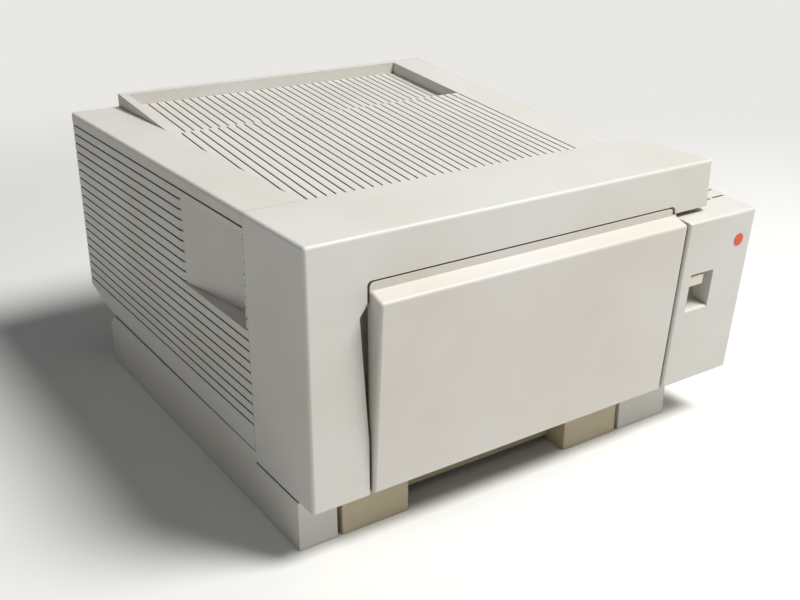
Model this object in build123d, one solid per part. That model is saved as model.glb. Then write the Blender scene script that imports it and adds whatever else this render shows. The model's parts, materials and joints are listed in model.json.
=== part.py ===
from build123d import *
import math
import os

# Desktop laser printer, in millimetres. The model is laid out from three datum planes:
# X = 0 is the left side, Y = 0 the front of the fascia, Z = 0 the surface it stands on.
# Only when a piece is written does it move to the origin, the middle of the footprint.

# Driving dimensions of the outside
TOTAL_WIDTH = 381.0
UPPER_WIDTH = 363.0
FASCIA_WIDTH = 340.0
BASE_WIDTH = 337.0
DEPTH = 410.0
HEIGHT = 217.0
WALL = 3.0
EDGE_RADIUS = 2.5

# The sloping top crosses the flat top at CREST_Y and rises to the rear
SLOPE = 0.108
CREST_Y = 303.5
TOP_SKIN = 2.5
STRIP_WIDTH = 42.6
POCKET_DEPTH = 10.5
POCKET_X = (50.0, 328.3)
POCKET_Y = (294.5, 404.0)
RIDGE_PITCH = 7.88
RIDGE_COUNT = 36
FIRST_GROOVE_X = 51.6
GROOVE_WIDTH = 1.5
GROOVE_DEPTH = 1.5
SEAM = 0.3
TOP_LEFT_RIM = 14.0
TOP_RIGHT_RIM = 5.5
TOP_REAR_RIM = 24.0

# Fascia: a beam over the door and a column beside it
BEAM_DEPTH = 78.4
BEAM_BOTTOM = 187.2
BEAM_END_X = 304.9
BEAM_END_DEPTH = 25.0
BEAM_END_BOTTOM = 181.6
COLUMN_WIDTH = 42.3
COLUMN_BOTTOM = 38.7
COLUMN_WALL_END_Y = 30.0
INNER_CORNER_RADIUS = 3.5
EXIT_SLOT_X = (62.0, 288.0)
EXIT_SLOT_Z = (197.5, 209.5)
SCOOP_Z = (79.0, 172.0)
SCOOP_DEPTH = 14.0
SCOOP_WIDTH = 6.5
SCOOP_TIP = (5.6, 7.0)
CHEEK_END_X = 58.0
CHEEK_Z = (58.0, 176.0)
BEAM_LEDGE = (9.0, 2.5)

# Left cover, its ribs and its hand grip
COVER_BOTTOM_FRONT = 46.6
COVER_BOTTOM_REAR = 49.5
COVER_LIP_Z = 60.4
BASE_REAR_Y = 365.0
LIP_START_Y = 372.0
RIB_PITCH = 7.8
RIB_COUNT = 19
FIRST_RIB_Z = 207.0
GRIP_Y = (81.0, 184.5)
GRIP_Z = (135.5, 202.0)
GRIP_DEPTH = 16.0
GRIP_FLAT = 12.0
GRIP_RUN_OUT = (1.5, 6.0)
COVER_RETURN = 6.6

# Front door, leaning out at its top
DOOR_X = (44.2, 306.4)
DOOR_FOOT = (-1.8, 40.3)
DOOR_CREST = (-12.4, 176.2)
DOOR_LEDGE_Z = 180.6
DOOR_LIP_Z = 186.2
DOOR_BACK_Y = 3.0
LIP_END_X = 302.3
LIP_CORNER_RADIUS = 3.0
CREST_RADIUS = 2.4
DOOR_INSIDE_Z = (172.0, 176.8)
DOOR_HINGE = (4.5, 47.0)
DOOR_PIN_RADIUS = 2.0

# Right housing with the control box at its front
HOUSING_LEFT_X = 308.9
HOUSING_REAR_X = 345.0
HOUSING_STEP_Y = 45.0
HOUSING_REAR_Y = 330.0
HOUSING_BOTTOM = 39.1
HOUSING_OPEN_Y = (60.0, 318.0)
HOUSING_OPEN_Z = (52.0, 170.0)
RECESS_X = (319.2, 343.7)
RECESS_Z = (101.7, 133.4)
RECESS_BACK_Y = 10.2
RECESS_WALL = 2.0
RECESS_LIP_RADIUS = 1.9
RECESS_BEND_RADIUS = 6.0
LATCH_TAB_X = (319.7, 334.8)
LATCH_TAB_Z = (123.2, 131.9)
LATCH_STEM_X = (322.0, 328.0)
LATCH_STEM_Z = (125.0, 130.0)
LATCH_TRAVEL = 8.5
STATUS_MARKS = (((363.9, 375.6), 16.3), ((365.6, 376.2), 28.4), ((349.9, 360.4), 15.6))
INDICATOR = (366.2, 153.1)
INDICATOR_RADIUS = 5.0

# Lower body
BRACKET_X = ((50.2, 54.2), (296.7, 300.7))
BRACKET_BOSS = 4.0
LIFT_HINGE = (30.0, 47.0)
LIFT_PIN_RADIUS = 2.0
PLINTH_Y = 19.5
SKIRT_TOP = 36.8
REAR_WALL_TOP = 46.0
REAR_SIDE_DROP = 6.0
REAR_RETURN_X = 340.0
SWING_CUT = (353.0, 37.0)
CORNER_X = ((0.0, 28.7), (286.6, BASE_WIDTH))
CORNER_DEPTH = 24.0
LEG_X = ((32.9, 86.0), (229.4, 282.9))
LEG_DEPTH = 22.0
PAN_Z = (8.0, 11.0)
PAN_FRONT_Z = (5.0, 37.0)
LIFT_X = (72.0, 279.0)
LIFT_Y = (26.0, 94.0)
LIFT_Z = (52.0, 53.5)
LIFT_EAR = (8.0, 7.5)
FOOT_X = (60.0, 280.0)
FOOT_Y = (70.0, 330.0)
FOOT_RADIUS = 8.0

# Steel frames that carry the rollers
FRAME_LEFT_X = (44.0, 46.0)
FRAME_RIGHT_X = (312.0, 314.0)
FRAME_TOP = 150.0
DRUM_SLOT = 4.3
STAY_RADIUS = 4.0
STAYS = ((340.0, 30.0), (150.0, 52.0), (312.0, 140.0))
TURN_CENTRE = (298.0, 92.0)
TURN_RADIUS = 32.0
TURN_SHEET = 1.5
FIRST_RUN_Y = 124.0
UPPER_HINGE = (350.0, 48.0)
UPPER_PIN_RADIUS = 4.0
RUNNING_CLEARANCE = 0.05

# Gear train, all of one module, in one plane outside the right frame
MODULE = 1.0
GEAR_X = (316.0, 322.0)
MAIN_GEAR = (137.0, 112.0)
MAIN_TEETH = 60
MOTOR_TEETH = 12
DRUM_IDLER_TEETH = 25
DRUM_TEETH = 32
FUSER_IDLER_TEETH = 28
FUSER_TEETH = 28
PICKUP_TEETH = 24
REGISTRATION_IDLER_TEETH = 27
REGISTRATION_TEETH = 24
TRANSFER_TEETH = 17
EXIT_IDLER_TEETH = 30
EXIT_TEETH = 20
DRUM_BEARING_DEG = 16.8
FUSER_BEARING_DEG = 157.3
PICKUP_BEARING_DEG = 226.0
MOTOR_BEARING_DEG = 315.0
REGISTRATION_BEARING_DEG = -15.3
EXIT_BEARING_DEG = 99.0

# Rollers
DRUM_RADIUS = 15.0
TRANSFER_RADIUS = 9.0
HOT_RADIUS = 13.0
PRESSURE_RADIUS = 12.0
NIP_GAP = 0.4
PICKUP_RADIUS = 16.0
REGISTRATION_RADIUS = 8.0
EXIT_RADIUS = 8.0
EXIT_SHAFT = 3.5
EXIT_TYRE_X = (84.0, 164.0, 244.0)
EXIT_TYRE_WIDTH = 22.0
EXIT_GUIDE_X = (58.0, 292.0)
EXIT_PINCH_RADIUS = 5.0
EXIT_PINCH_AXLE = 2.0
SHAFT_RADIUS = 4.0
HOT_JOURNAL_RADIUS = 8.0
ROLLER_X = (60.0, 298.0)
JOURNAL_X = (42.0, 323.0)

# Screws of the rear cover, in flanges of the upper frame
SCREW_PLACES = ((30.0, 120.0), (334.5, 120.0), (30.0, 180.0), (334.5, 180.0))
SCREW_RADIUS = 1.5
SCREW_HEAD_RADIUS = 3.6
FLANGE_Y = (400.0, 401.5)
FLANGE_Z = (112.0, 188.0)

def box(x, y, z):
    """A block given by its low and high coordinate along each axis."""
    size = (x[1] - x[0], y[1] - y[0], z[1] - z[0])
    middle = ((x[0] + x[1]) / 2, (y[0] + y[1]) / 2, (z[0] + z[1]) / 2)
    return Pos(*middle) * Box(*size)


def side_profile(x, points):
    """A prism along X from an outline of (y, z) points."""
    wire = Polyline(*[(x[0], y, z) for y, z in points], close=True)
    return extrude(make_face(wire), amount=x[1] - x[0], dir=(1, 0, 0))


def front_profile(y, points):
    """A prism along Y from an outline of (x, z) points."""
    wire = Polyline(*[(px, y[0], z) for px, z in points], close=True)
    return extrude(make_face(wire), amount=y[1] - y[0], dir=(0, 1, 0))


def upright_prism(points, z):
    """A prism along Z from an outline of (x, y) points."""
    wire = Polyline(*[(x, y, z[0]) for x, y in points], close=True)
    return extrude(make_face(wire), amount=z[1] - z[0], dir=(0, 0, 1))


def edges_along_y(solid, x, z):
    """The edges of a solid that run along Y at one x and z."""
    edges = [(edge, edge.center()) for edge in solid.edges() if abs(edge.tangent_at(0.5).Y) > 0.99]
    return [edge for edge, c in edges if abs(c.X - x) < 0.01 and abs(c.Z - z) < 0.01]


def edges_along_x(solid, y, z):
    """The edges of a solid that run along X at one y and z."""
    edges = [(edge, edge.center()) for edge in solid.edges() if abs(edge.tangent_at(0.5).X) > 0.99]
    return [edge for edge, c in edges if abs(c.Y - y) < 0.01 and abs(c.Z - z) < 0.01]


def rod(radius, x, centre):
    """A round bar along X; centre is its (y, z)."""
    bar = Cylinder(radius, x[1] - x[0])
    return Pos((x[0] + x[1]) / 2, centre[0], centre[1]) * Rot(0, 90, 0) * bar


def along_y(radius, y, centre):
    """A round bar along Y; centre is its (x, z)."""
    bar = Cylinder(radius, y[1] - y[0])
    return Pos(centre[0], (y[0] + y[1]) / 2, centre[1]) * Rot(90, 0, 0) * bar


def upright(radius, z, centre):
    """A round bar along Z; centre is its (x, y)."""
    return Pos(centre[0], centre[1], (z[0] + z[1]) / 2) * Cylinder(radius, z[1] - z[0])


def grown(span, amount):
    """A span made longer at both ends."""
    return (span[0] - amount, span[1] + amount)


def polar(centre, distance, degrees):
    """The (y, z) point at a distance and bearing from a centre."""
    angle = math.radians(degrees)
    return (centre[0] + distance * math.cos(angle), centre[1] + distance * math.sin(angle))


def slope_z(y, below=0.0):
    """Height of the sloping top at y, or of a plane parallel to it that lies below."""
    return HEIGHT + SLOPE * (y - CREST_Y) - below


def sloped_slab(x, y, top, bottom):
    """A slab that follows the sloping top; top and bottom are depths below it."""
    corners = [(y[0], slope_z(y[0], top)), (y[1], slope_z(y[1], top))]
    corners += [(y[1], slope_z(y[1], bottom)), (y[0], slope_z(y[0], bottom))]
    return side_profile(x, corners)


def door_front_y(z):
    """Y of the leaning front plane, which the door and the control box share."""
    lean = (DOOR_CREST[0] - DOOR_FOOT[0]) / (DOOR_CREST[1] - DOOR_FOOT[1])
    return DOOR_FOOT[0] + lean * (z - DOOR_FOOT[1])


def groove_x(index):
    """Middle of one groove in the top."""
    return FIRST_GROOVE_X + RIDGE_PITCH * index


def groove_span(index):
    """Both sides of one groove in the top."""
    return (groove_x(index) - GROOVE_WIDTH / 2, groove_x(index) + GROOVE_WIDTH / 2)


# Gear train: pitch centres follow from the teeth, so every pair is in mesh
def pitch_radius(teeth):
    return MODULE * teeth / 2


def mesh_phase(phase, teeth, bearing, next_teeth):
    """Angle of a tooth of the next gear, so that it fits a gap of the gear before it."""
    turn = -(phase - bearing) * teeth / next_teeth
    return bearing + 180.0 + turn + 180.0 / next_teeth


def gear(teeth, centre, phase, bore, x=GEAR_X):
    """A spur gear with straight-sided teeth and a little backlash."""
    root = pitch_radius(teeth) - 1.15 * MODULE
    tip = pitch_radius(teeth) + 0.85 * MODULE
    step = 360.0 / teeth
    points = []
    for tooth in range(teeth):
        middle = phase + tooth * step
        points.append(polar(centre, root, middle - 0.31 * step))
        points.append(polar(centre, tip, middle - 0.12 * step))
        points.append(polar(centre, tip, middle + 0.12 * step))
        points.append(polar(centre, root, middle + 0.31 * step))
    return side_profile(x, points) - rod(bore, grown(x, 1), centre)


def train():
    """Centre and phase of each gear, by name."""
    places = {"main": (MAIN_GEAR, 0.0, MAIN_TEETH)}

    def follow(name, before, teeth, bearing):
        centre, phase, before_teeth = places[before]
        distance = pitch_radius(before_teeth) + pitch_radius(teeth)
        there = polar(centre, distance, bearing)
        places[name] = (there, mesh_phase(phase, before_teeth, bearing, teeth), teeth)

    follow("motor", "main", MOTOR_TEETH, MOTOR_BEARING_DEG)
    follow("pickup", "main", PICKUP_TEETH, PICKUP_BEARING_DEG)
    follow("drum_idler", "main", DRUM_IDLER_TEETH, DRUM_BEARING_DEG)
    follow("drum", "drum_idler", DRUM_TEETH, DRUM_BEARING_DEG)
    follow("transfer", "drum", TRANSFER_TEETH, -90.0)
    follow("registration_idler", "drum", REGISTRATION_IDLER_TEETH, REGISTRATION_BEARING_DEG)
    follow("registration", "registration_idler", REGISTRATION_TEETH, REGISTRATION_BEARING_DEG)
    follow("fuser_idler", "main", FUSER_IDLER_TEETH, FUSER_BEARING_DEG)
    follow("fuser", "fuser_idler", FUSER_TEETH, FUSER_BEARING_DEG)
    follow("exit_idler", "fuser", EXIT_IDLER_TEETH, EXIT_BEARING_DEG)
    follow("exit", "exit_idler", EXIT_TEETH, EXIT_BEARING_DEG)
    return places


TRAIN = train()
DRUM = TRAIN["drum"][0]
TRANSFER = TRAIN["transfer"][0]
HOT = TRAIN["fuser"][0]
PICKUP = TRAIN["pickup"][0]
REGISTRATION = TRAIN["registration"][0]
EXIT = TRAIN["exit"][0]
MOTOR = TRAIN["motor"][0]
PRESSURE = (HOT[0], HOT[1] - HOT_RADIUS - NIP_GAP - PRESSURE_RADIUS)
EXIT_PINCH = (EXIT[0], EXIT[1] + EXIT_RADIUS + NIP_GAP + EXIT_PINCH_RADIUS)
DEVELOPER_RADIUS = 6.5
DEVELOPER = polar(DRUM, DRUM_RADIUS + NIP_GAP + DEVELOPER_RADIUS, 9.0)


def train_gear(name, bore, x=GEAR_X):
    """One gear of the train at its own place."""
    centre, phase, teeth = TRAIN[name]
    return gear(teeth, centre, phase, bore, x)


# Upper unit: fascia, covers and their frame
def fascia_outside():
    """Outer form of the beam and the column, with every rounded edge."""
    column = box((0, COLUMN_WIDTH), (0, BEAM_DEPTH), (COLUMN_BOTTOM, HEIGHT))
    beam = box((0, FASCIA_WIDTH), (0, BEAM_DEPTH), (BEAM_BOTTOM, HEIGHT))
    beam_end = box((BEAM_END_X, FASCIA_WIDTH), (0, BEAM_END_DEPTH), (BEAM_END_BOTTOM, HEIGHT))
    outer = column + beam + beam_end
    outer = fillet(edges_along_y(outer, COLUMN_WIDTH, BEAM_BOTTOM), INNER_CORNER_RADIUS)
    outer = fillet(edges_along_y(outer, BEAM_END_X, BEAM_BOTTOM), INNER_CORNER_RADIUS)
    near = 0.01
    edges = [(edge, edge.center()) for edge in outer.edges()]
    top = [e for e, c in edges if abs(c.Z - HEIGHT) < near and c.Y < BEAM_DEPTH - 1]
    corner = [e for e, c in edges if c.X < near and c.Y < near]
    end = [e for e, c in edges if abs(c.X - FASCIA_WIDTH) < near and c.Y < near]
    return fillet(top + corner + end, EDGE_RADIUS)


def front_fascia():
    """Beam and column in one shell, open below and behind, with the scoop and its cheek."""
    behind = BEAM_DEPTH + 1
    column_x = (WALL, COLUMN_WIDTH - WALL)
    inner_column = box(column_x, (WALL, behind), (COLUMN_BOTTOM + WALL, HEIGHT - WALL))
    open_side = (COLUMN_BOTTOM - 1, BEAM_BOTTOM)
    inner_column += box((WALL, COLUMN_WIDTH + 1), (COLUMN_WALL_END_Y, behind), open_side)
    rear_wall_y = BEAM_DEPTH - WALL
    inner_z = (BEAM_END_BOTTOM - 1, HEIGHT - WALL)
    inner_beam = box((WALL, FASCIA_WIDTH - WALL), (WALL, rear_wall_y), inner_z)
    gap_z = (BEAM_END_BOTTOM - 1, slope_z(BEAM_DEPTH, 2))
    wall_gap = box((COLUMN_WIDTH, FASCIA_WIDTH + 1), (rear_wall_y - 0.1, behind), gap_z)
    slot = box(EXIT_SLOT_X, (rear_wall_y - 1, BEAM_DEPTH + 1), EXIT_SLOT_Z)
    shell = fascia_outside() - inner_column - inner_beam - wall_gap - slot
    ledge_z = (BEAM_BOTTOM, BEAM_BOTTOM + BEAM_LEDGE[1])
    shell += box((COLUMN_WIDTH - 1, BEAM_END_X), (WALL - 0.1, BEAM_LEDGE[0]), ledge_z)
    backing_x = (COLUMN_WIDTH - SCOOP_WIDTH - WALL, COLUMN_WIDTH)
    shell += box(backing_x, (WALL - 0.1, SCOOP_DEPTH + WALL), grown(SCOOP_Z, WALL))
    shell += box((COLUMN_WIDTH - WALL, CHEEK_END_X), (SCOOP_DEPTH, SCOOP_DEPTH + WALL), CHEEK_Z)
    return shell - finger_scoop()


def finger_scoop():
    """The slanted hollow in the column's inner edge, for a finger behind the door."""
    edge = COLUMN_WIDTH
    inner = edge + 0.5
    low, high = SCOOP_Z
    tip = (edge - SCOOP_TIP[0], high - SCOOP_TIP[1])
    outline = [(inner, low), (inner, high), (edge - 0.3, high), tip, (edge, low)]
    straight = front_profile((-1.0, SCOOP_DEPTH), outline)
    plan = [(edge - SCOOP_WIDTH, -1.0), (edge + 1, -1.0), (edge + 1, SCOOP_DEPTH), (edge, SCOOP_DEPTH)]
    return straight & upright_prism(plan, (low - 9.0, high + 8.0))


def cover_bottom_z(y):
    """Lower edge of the left cover."""
    rise = (COVER_BOTTOM_REAR - COVER_BOTTOM_FRONT) / (BASE_REAR_Y - BEAM_DEPTH)
    return COVER_BOTTOM_FRONT + rise * (y - BEAM_DEPTH)


def left_side_cover():
    """Ribbed side wall, flat top strip and hand grip, moulded as one."""
    front = BEAM_DEPTH + SEAM
    rear = DEPTH
    outline = [(front, HEIGHT), (rear, HEIGHT), (rear, COVER_LIP_Z)]
    outline += [(LIP_START_Y, COVER_BOTTOM_REAR + 1.5), (LIP_START_Y, COVER_BOTTOM_REAR)]
    outline.append((front, cover_bottom_z(front)))
    block = side_profile((0, STRIP_WIDTH), outline)
    outside = [edge for edge in block.edges() if edge.center().X < 0.01]
    rounded = [e for e in outside if e.center().Z > HEIGHT - 0.1 or e.center().Y > rear - 0.1]
    block = fillet(rounded, EDGE_RADIUS)
    hollow = box((WALL, STRIP_WIDTH + 1), (front - 1, rear - WALL), (0, HEIGHT - WALL))
    gap_z = (0, slope_z(DEPTH, TOP_REAR_RIM))
    rear_gap = box((COVER_RETURN, STRIP_WIDTH + 1), (rear - WALL - 1, rear + 1), gap_z)
    cover = block - hollow - rear_gap
    grip_back = box((0.5, GRIP_DEPTH + WALL), grown(GRIP_Y, WALL - 0.6), grown(GRIP_Z, WALL))
    return cover + grip_back - side_ribs() - grip_hollow()


def side_ribs():
    """Horizontal grooves between the ribs of the left cover."""
    groove = (-1.0, GROOVE_DEPTH)
    span = (BEAM_DEPTH, DEPTH + 1)
    levels = [FIRST_RIB_Z - RIB_PITCH * i for i in range(RIB_COUNT)]
    return [box(groove, span, (z - GROOVE_WIDTH / 2, z + GROOVE_WIDTH / 2)) for z in levels]


def grip_hollow():
    """A hand grip that starts flush at its rear and is deepest at its front."""
    plan = [(-1.0, GRIP_Y[0]), (GRIP_DEPTH, GRIP_Y[0]), (GRIP_DEPTH, GRIP_Y[0] + GRIP_FLAT)]
    plan += [(GRIP_RUN_OUT[0], GRIP_Y[1] - GRIP_RUN_OUT[1]), (-1.0, GRIP_Y[1])]
    return upright_prism(plan, GRIP_Z)


def top_cover():
    """Sloping top with its ridges and the sunken end of the paper tray."""
    x = (STRIP_WIDTH + SEAM, UPPER_WIDTH)
    y = (BEAM_DEPTH + SEAM, DEPTH)
    cover = sloped_slab(x, y, 0, TOP_SKIN)
    cover += sloped_slab((x[0], x[0] + TOP_SKIN), y, 0, TOP_LEFT_RIM)
    cover += sloped_slab((UPPER_WIDTH - TOP_SKIN, UPPER_WIDTH), y, 0, TOP_RIGHT_RIM)
    cover += sloped_slab(x, (DEPTH - TOP_SKIN, DEPTH), 0, TOP_REAR_RIM)
    lower = POCKET_DEPTH + TOP_SKIN
    cover += sloped_slab(grown(POCKET_X, TOP_SKIN), grown(POCKET_Y, TOP_SKIN), 0.5, lower)
    cover -= sloped_slab(POCKET_X, POCKET_Y, -5.0, POCKET_DEPTH)
    return cover - ridge_grooves()


def ridge_grooves():
    """Grooves of the slope in front, and of the sunken floor behind it."""
    front = (BEAM_DEPTH + 6.0, POCKET_Y[0] + 0.5)
    cuts = [sloped_slab(groove_span(i), front, -2.0, GROOVE_DEPTH) for i in range(RIDGE_COUNT)]
    inside = [i for i in range(RIDGE_COUNT) if POCKET_X[0] + 8 < groove_x(i) < POCKET_X[1] - 4]
    floor = POCKET_DEPTH + GROOVE_DEPTH
    cuts += [sloped_slab(groove_span(i), POCKET_Y, POCKET_DEPTH - 2, floor) for i in inside]
    return cuts


def rear_cover():
    """Back of the upper unit, with its lip over the lower body and its vents."""
    top = slope_z(DEPTH, TOP_REAR_RIM + SEAM)
    low = COVER_BOTTOM_REAR + 1.5
    outline = [(DEPTH, top), (DEPTH, COVER_LIP_Z), (LIP_START_Y, low), (LIP_START_Y, low + WALL)]
    outline += [(DEPTH - WALL, COVER_LIP_Z + 2.4), (DEPTH - WALL, top)]
    cover = side_profile((COVER_RETURN + SEAM, UPPER_WIDTH), outline)
    inside_y = DEPTH - TOP_SKIN - SEAM
    front = HOUSING_REAR_Y + 3
    side_top = [(front, slope_z(front, REAR_SIDE_DROP)), (inside_y, slope_z(inside_y, REAR_SIDE_DROP))]
    side_top += [(inside_y, top), (DEPTH, top)]
    side_low = [(DEPTH, COVER_LIP_Z), (LIP_START_Y, low), (front, low)]
    cover += side_profile((UPPER_WIDTH - WALL, UPPER_WIDTH), side_top + side_low)
    front_z = (low, slope_z(HOUSING_REAR_Y, REAR_SIDE_DROP + WALL))
    cover += box((REAR_RETURN_X + WALL * 2, UPPER_WIDTH), (front, front + WALL), front_z)
    cover += box((REAR_RETURN_X, UPPER_WIDTH), (front, LIP_START_Y + 2), (low, low + WALL))
    return cover - rear_vents() - screw_seats()


def screw_seats():
    """Sunk seats and clearance holes of the rear cover's screws."""
    seats = []
    for place in SCREW_PLACES:
        seats.append(along_y(SCREW_HEAD_RADIUS + 0.3, (DEPTH - 1.4, DEPTH + 1), place))
        seats.append(along_y(SCREW_RADIUS + 0.1, (DEPTH - 5, DEPTH), place))
    return seats


VENT_BANKS_X = (70.0, 250.0)
VENT_Z = (110.0, 150.0)
VENT_COUNT = 8
VENT_PITCH = 7.0
VENT_WIDTH = 3.0


def rear_vents():
    """Two banks of upright slots."""
    slots = []
    for first in VENT_BANKS_X:
        for left in (first + VENT_PITCH * i for i in range(VENT_COUNT)):
            slots.append(box((left, left + VENT_WIDTH), (DEPTH - 5, DEPTH + 1), VENT_Z))
    return slots


SHEET = 1.5
DECK_X = (36.0, 328.5)
DECK_Y = (228.0, 407.0)
DECK_Z = (174.0, 174.0 + SHEET)
SIDE_TAB_Y = (345.0, 400.0)
RAIL_TOP = 188.0
FLANGE_WIDTH = 12.0
ARM_Y = (342.0, 358.0)
ARM_LOW_Z = (40.0, 66.0)
ARM_REAR_Z = 109.0


def upper_frame():
    """Folded steel deck with side rails and the two arms of the rear hinge."""
    deck = box(DECK_X, DECK_Y, DECK_Z) + box((WALL, DECK_X[0] + 0.5), SIDE_TAB_Y, DECK_Z)
    left = (DECK_X[0], DECK_X[0] + SHEET)
    right = (DECK_X[1] - SHEET, DECK_X[1])
    left_flange = (left[0] - FLANGE_WIDTH, left[1])
    right_flange = (right[0], right[0] + FLANGE_WIDTH + 1.0)
    for x, flange_x in ((left, left_flange), (right, right_flange)):
        rail = box(x, (BEAM_DEPTH - 10, FLANGE_Y[1]), (DECK_Z[0], RAIL_TOP))
        outline = [(ARM_Y[0], ARM_LOW_Z[0]), (ARM_Y[1], ARM_LOW_Z[0]), (ARM_Y[1], ARM_LOW_Z[1])]
        outline += [(FLANGE_Y[1], ARM_REAR_Z), (FLANGE_Y[1], DECK_Z[0] + 1)]
        outline += [(ARM_Y[0] - 2, DECK_Z[0] + 1), (ARM_Y[0], ARM_LOW_Z[1])]
        arm = side_profile(x, outline) - rod(UPPER_PIN_RADIUS, grown(x, 1), UPPER_HINGE)
        deck += rail + arm + box(flange_x, FLANGE_Y, FLANGE_Z)
    return deck - [along_y(SCREW_RADIUS, grown(FLANGE_Y, 1), place) for place in SCREW_PLACES]


def upper_hinge_pins():
    """Stub pins that join the arms to the side frames."""
    left = rod(UPPER_PIN_RADIUS, (DECK_X[0] - 2, FRAME_LEFT_X[1] + 3), UPPER_HINGE)
    right = rod(UPPER_PIN_RADIUS, (FRAME_RIGHT_X[0] - 3, DECK_X[1] + 2), UPPER_HINGE)
    return [left, right]


def exit_guide():
    """Curved guide that turns the sheet up to the exit rollers, with their end plates."""
    inner = [(HOT[0] - 26, 131.0), (HOT[0] - 40, 150.0), (HOT[0] - 42, 172.0), (HOT[0] - 30, 196.0)]
    outer = [(y - 1.6, z) for y, z in reversed(inner)]
    guide = side_profile(EXIT_GUIDE_X, inner + outer)
    plate = [(HOT[0] - 44, 160.0), (HOT[0] + 4, 180.0), (HOT[0] + 4, 213.5)]
    plate += [(HOT[0] - 34, 213.5), (HOT[0] - 44, 190.0)]
    for x in ((EXIT_GUIDE_X[0] - 2, EXIT_GUIDE_X[0]), (EXIT_GUIDE_X[1], EXIT_GUIDE_X[1] + 2)):
        end = side_profile(x, plate) - rod(EXIT_SHAFT + RUNNING_CLEARANCE, grown(x, 1), EXIT)
        guide += end - rod(EXIT_PINCH_AXLE + RUNNING_CLEARANCE, grown(x, 1), EXIT_PINCH)
    return guide


def exit_roller():
    """Driven exit rollers on their shaft, with the moulded gear."""
    shaft = rod(EXIT_SHAFT, (52.0, GEAR_X[1]), EXIT)
    tyres = [rod(EXIT_RADIUS, (x, x + EXIT_TYRE_WIDTH), EXIT) for x in EXIT_TYRE_X]
    return shaft + tyres + train_gear("exit", EXIT_SHAFT - 0.1)


def exit_pinch_rollers():
    """Idle rollers over the exit rollers, on one wire axle."""
    axle = rod(EXIT_PINCH_AXLE, grown(EXIT_GUIDE_X, 4.0), EXIT_PINCH)
    tyres = [(x + 3, x + EXIT_TYRE_WIDTH - 3) for x in EXIT_TYRE_X]
    return axle + [rod(EXIT_PINCH_RADIUS, tyre, EXIT_PINCH) for tyre in tyres]


# Laser scanner
SCANNER_X = (70.0, 290.0)
SCANNER_Y = (236.0, 345.0)
SCANNER_Z = (175.5, 199.0)
SCANNER_LID = 1.2
SCAN_WINDOW_X = (90.0, 270.0)
SCAN_WINDOW_Z = (182.0, 190.0)
MIRROR_AT = (180.0, 318.0)
MIRROR_RADIUS = 14.0
MIRROR_Z = (187.0, 193.0)
SCAN_MOTOR_TOP = 184.4
LENS_X = (110.0, 250.0)
LENS_Y = (262.0, 268.0, 274.0)
LENS_Z = (180.0, 192.0)


def scanner_housing():
    """Tray of the laser scanner with a window in its front wall."""
    outer = box(SCANNER_X, SCANNER_Y, SCANNER_Z)
    inner = box(grown(SCANNER_X, -WALL), grown(SCANNER_Y, -WALL), (SCANNER_Z[0] + WALL, SCANNER_Z[1] + 1))
    window = box(SCAN_WINDOW_X, (SCANNER_Y[0] - 1, SCANNER_Y[0] + WALL + 1), SCAN_WINDOW_Z)
    lid_z = (SCANNER_Z[1], SCANNER_Z[1] + SCANNER_LID)
    lid = box(grown(SCANNER_X, -0.1), grown(SCANNER_Y, -0.1), lid_z)
    return outer - inner - window + lid + scan_motor()


def polygon_mirror():
    """Six-sided spinning mirror on its hub."""
    prism = extrude(RegularPolygon(MIRROR_RADIUS, 6), amount=MIRROR_Z[1] - MIRROR_Z[0])
    hub = upright(6.0, (MIRROR_Z[0] - 2, MIRROR_Z[0]), MIRROR_AT)
    return Pos(*MIRROR_AT, MIRROR_Z[0]) * prism + hub


def scan_motor():
    """Flat motor under the mirror."""
    can = upright(16.0, (SCANNER_Z[0] + WALL, SCAN_MOTOR_TOP), MIRROR_AT)
    return can + upright(2.5, (SCAN_MOTOR_TOP, SCAN_MOTOR_TOP + 0.4), MIRROR_AT)


def scan_lens():
    """Long lens bar that focuses the scanned beam."""
    flat, end, crown = LENS_Y
    outline = [(LENS_X[0], flat), (LENS_X[1], flat), (LENS_X[1], end), (MIRROR_AT[0], crown)]
    outline.append((LENS_X[0], end))
    foot_z = (SCANNER_Z[0] + WALL, LENS_Z[0])
    foot = box(grown(LENS_X, 6.0), (flat - 2, end + 2), foot_z)
    return upright_prism(outline, LENS_Z) + foot


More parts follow.
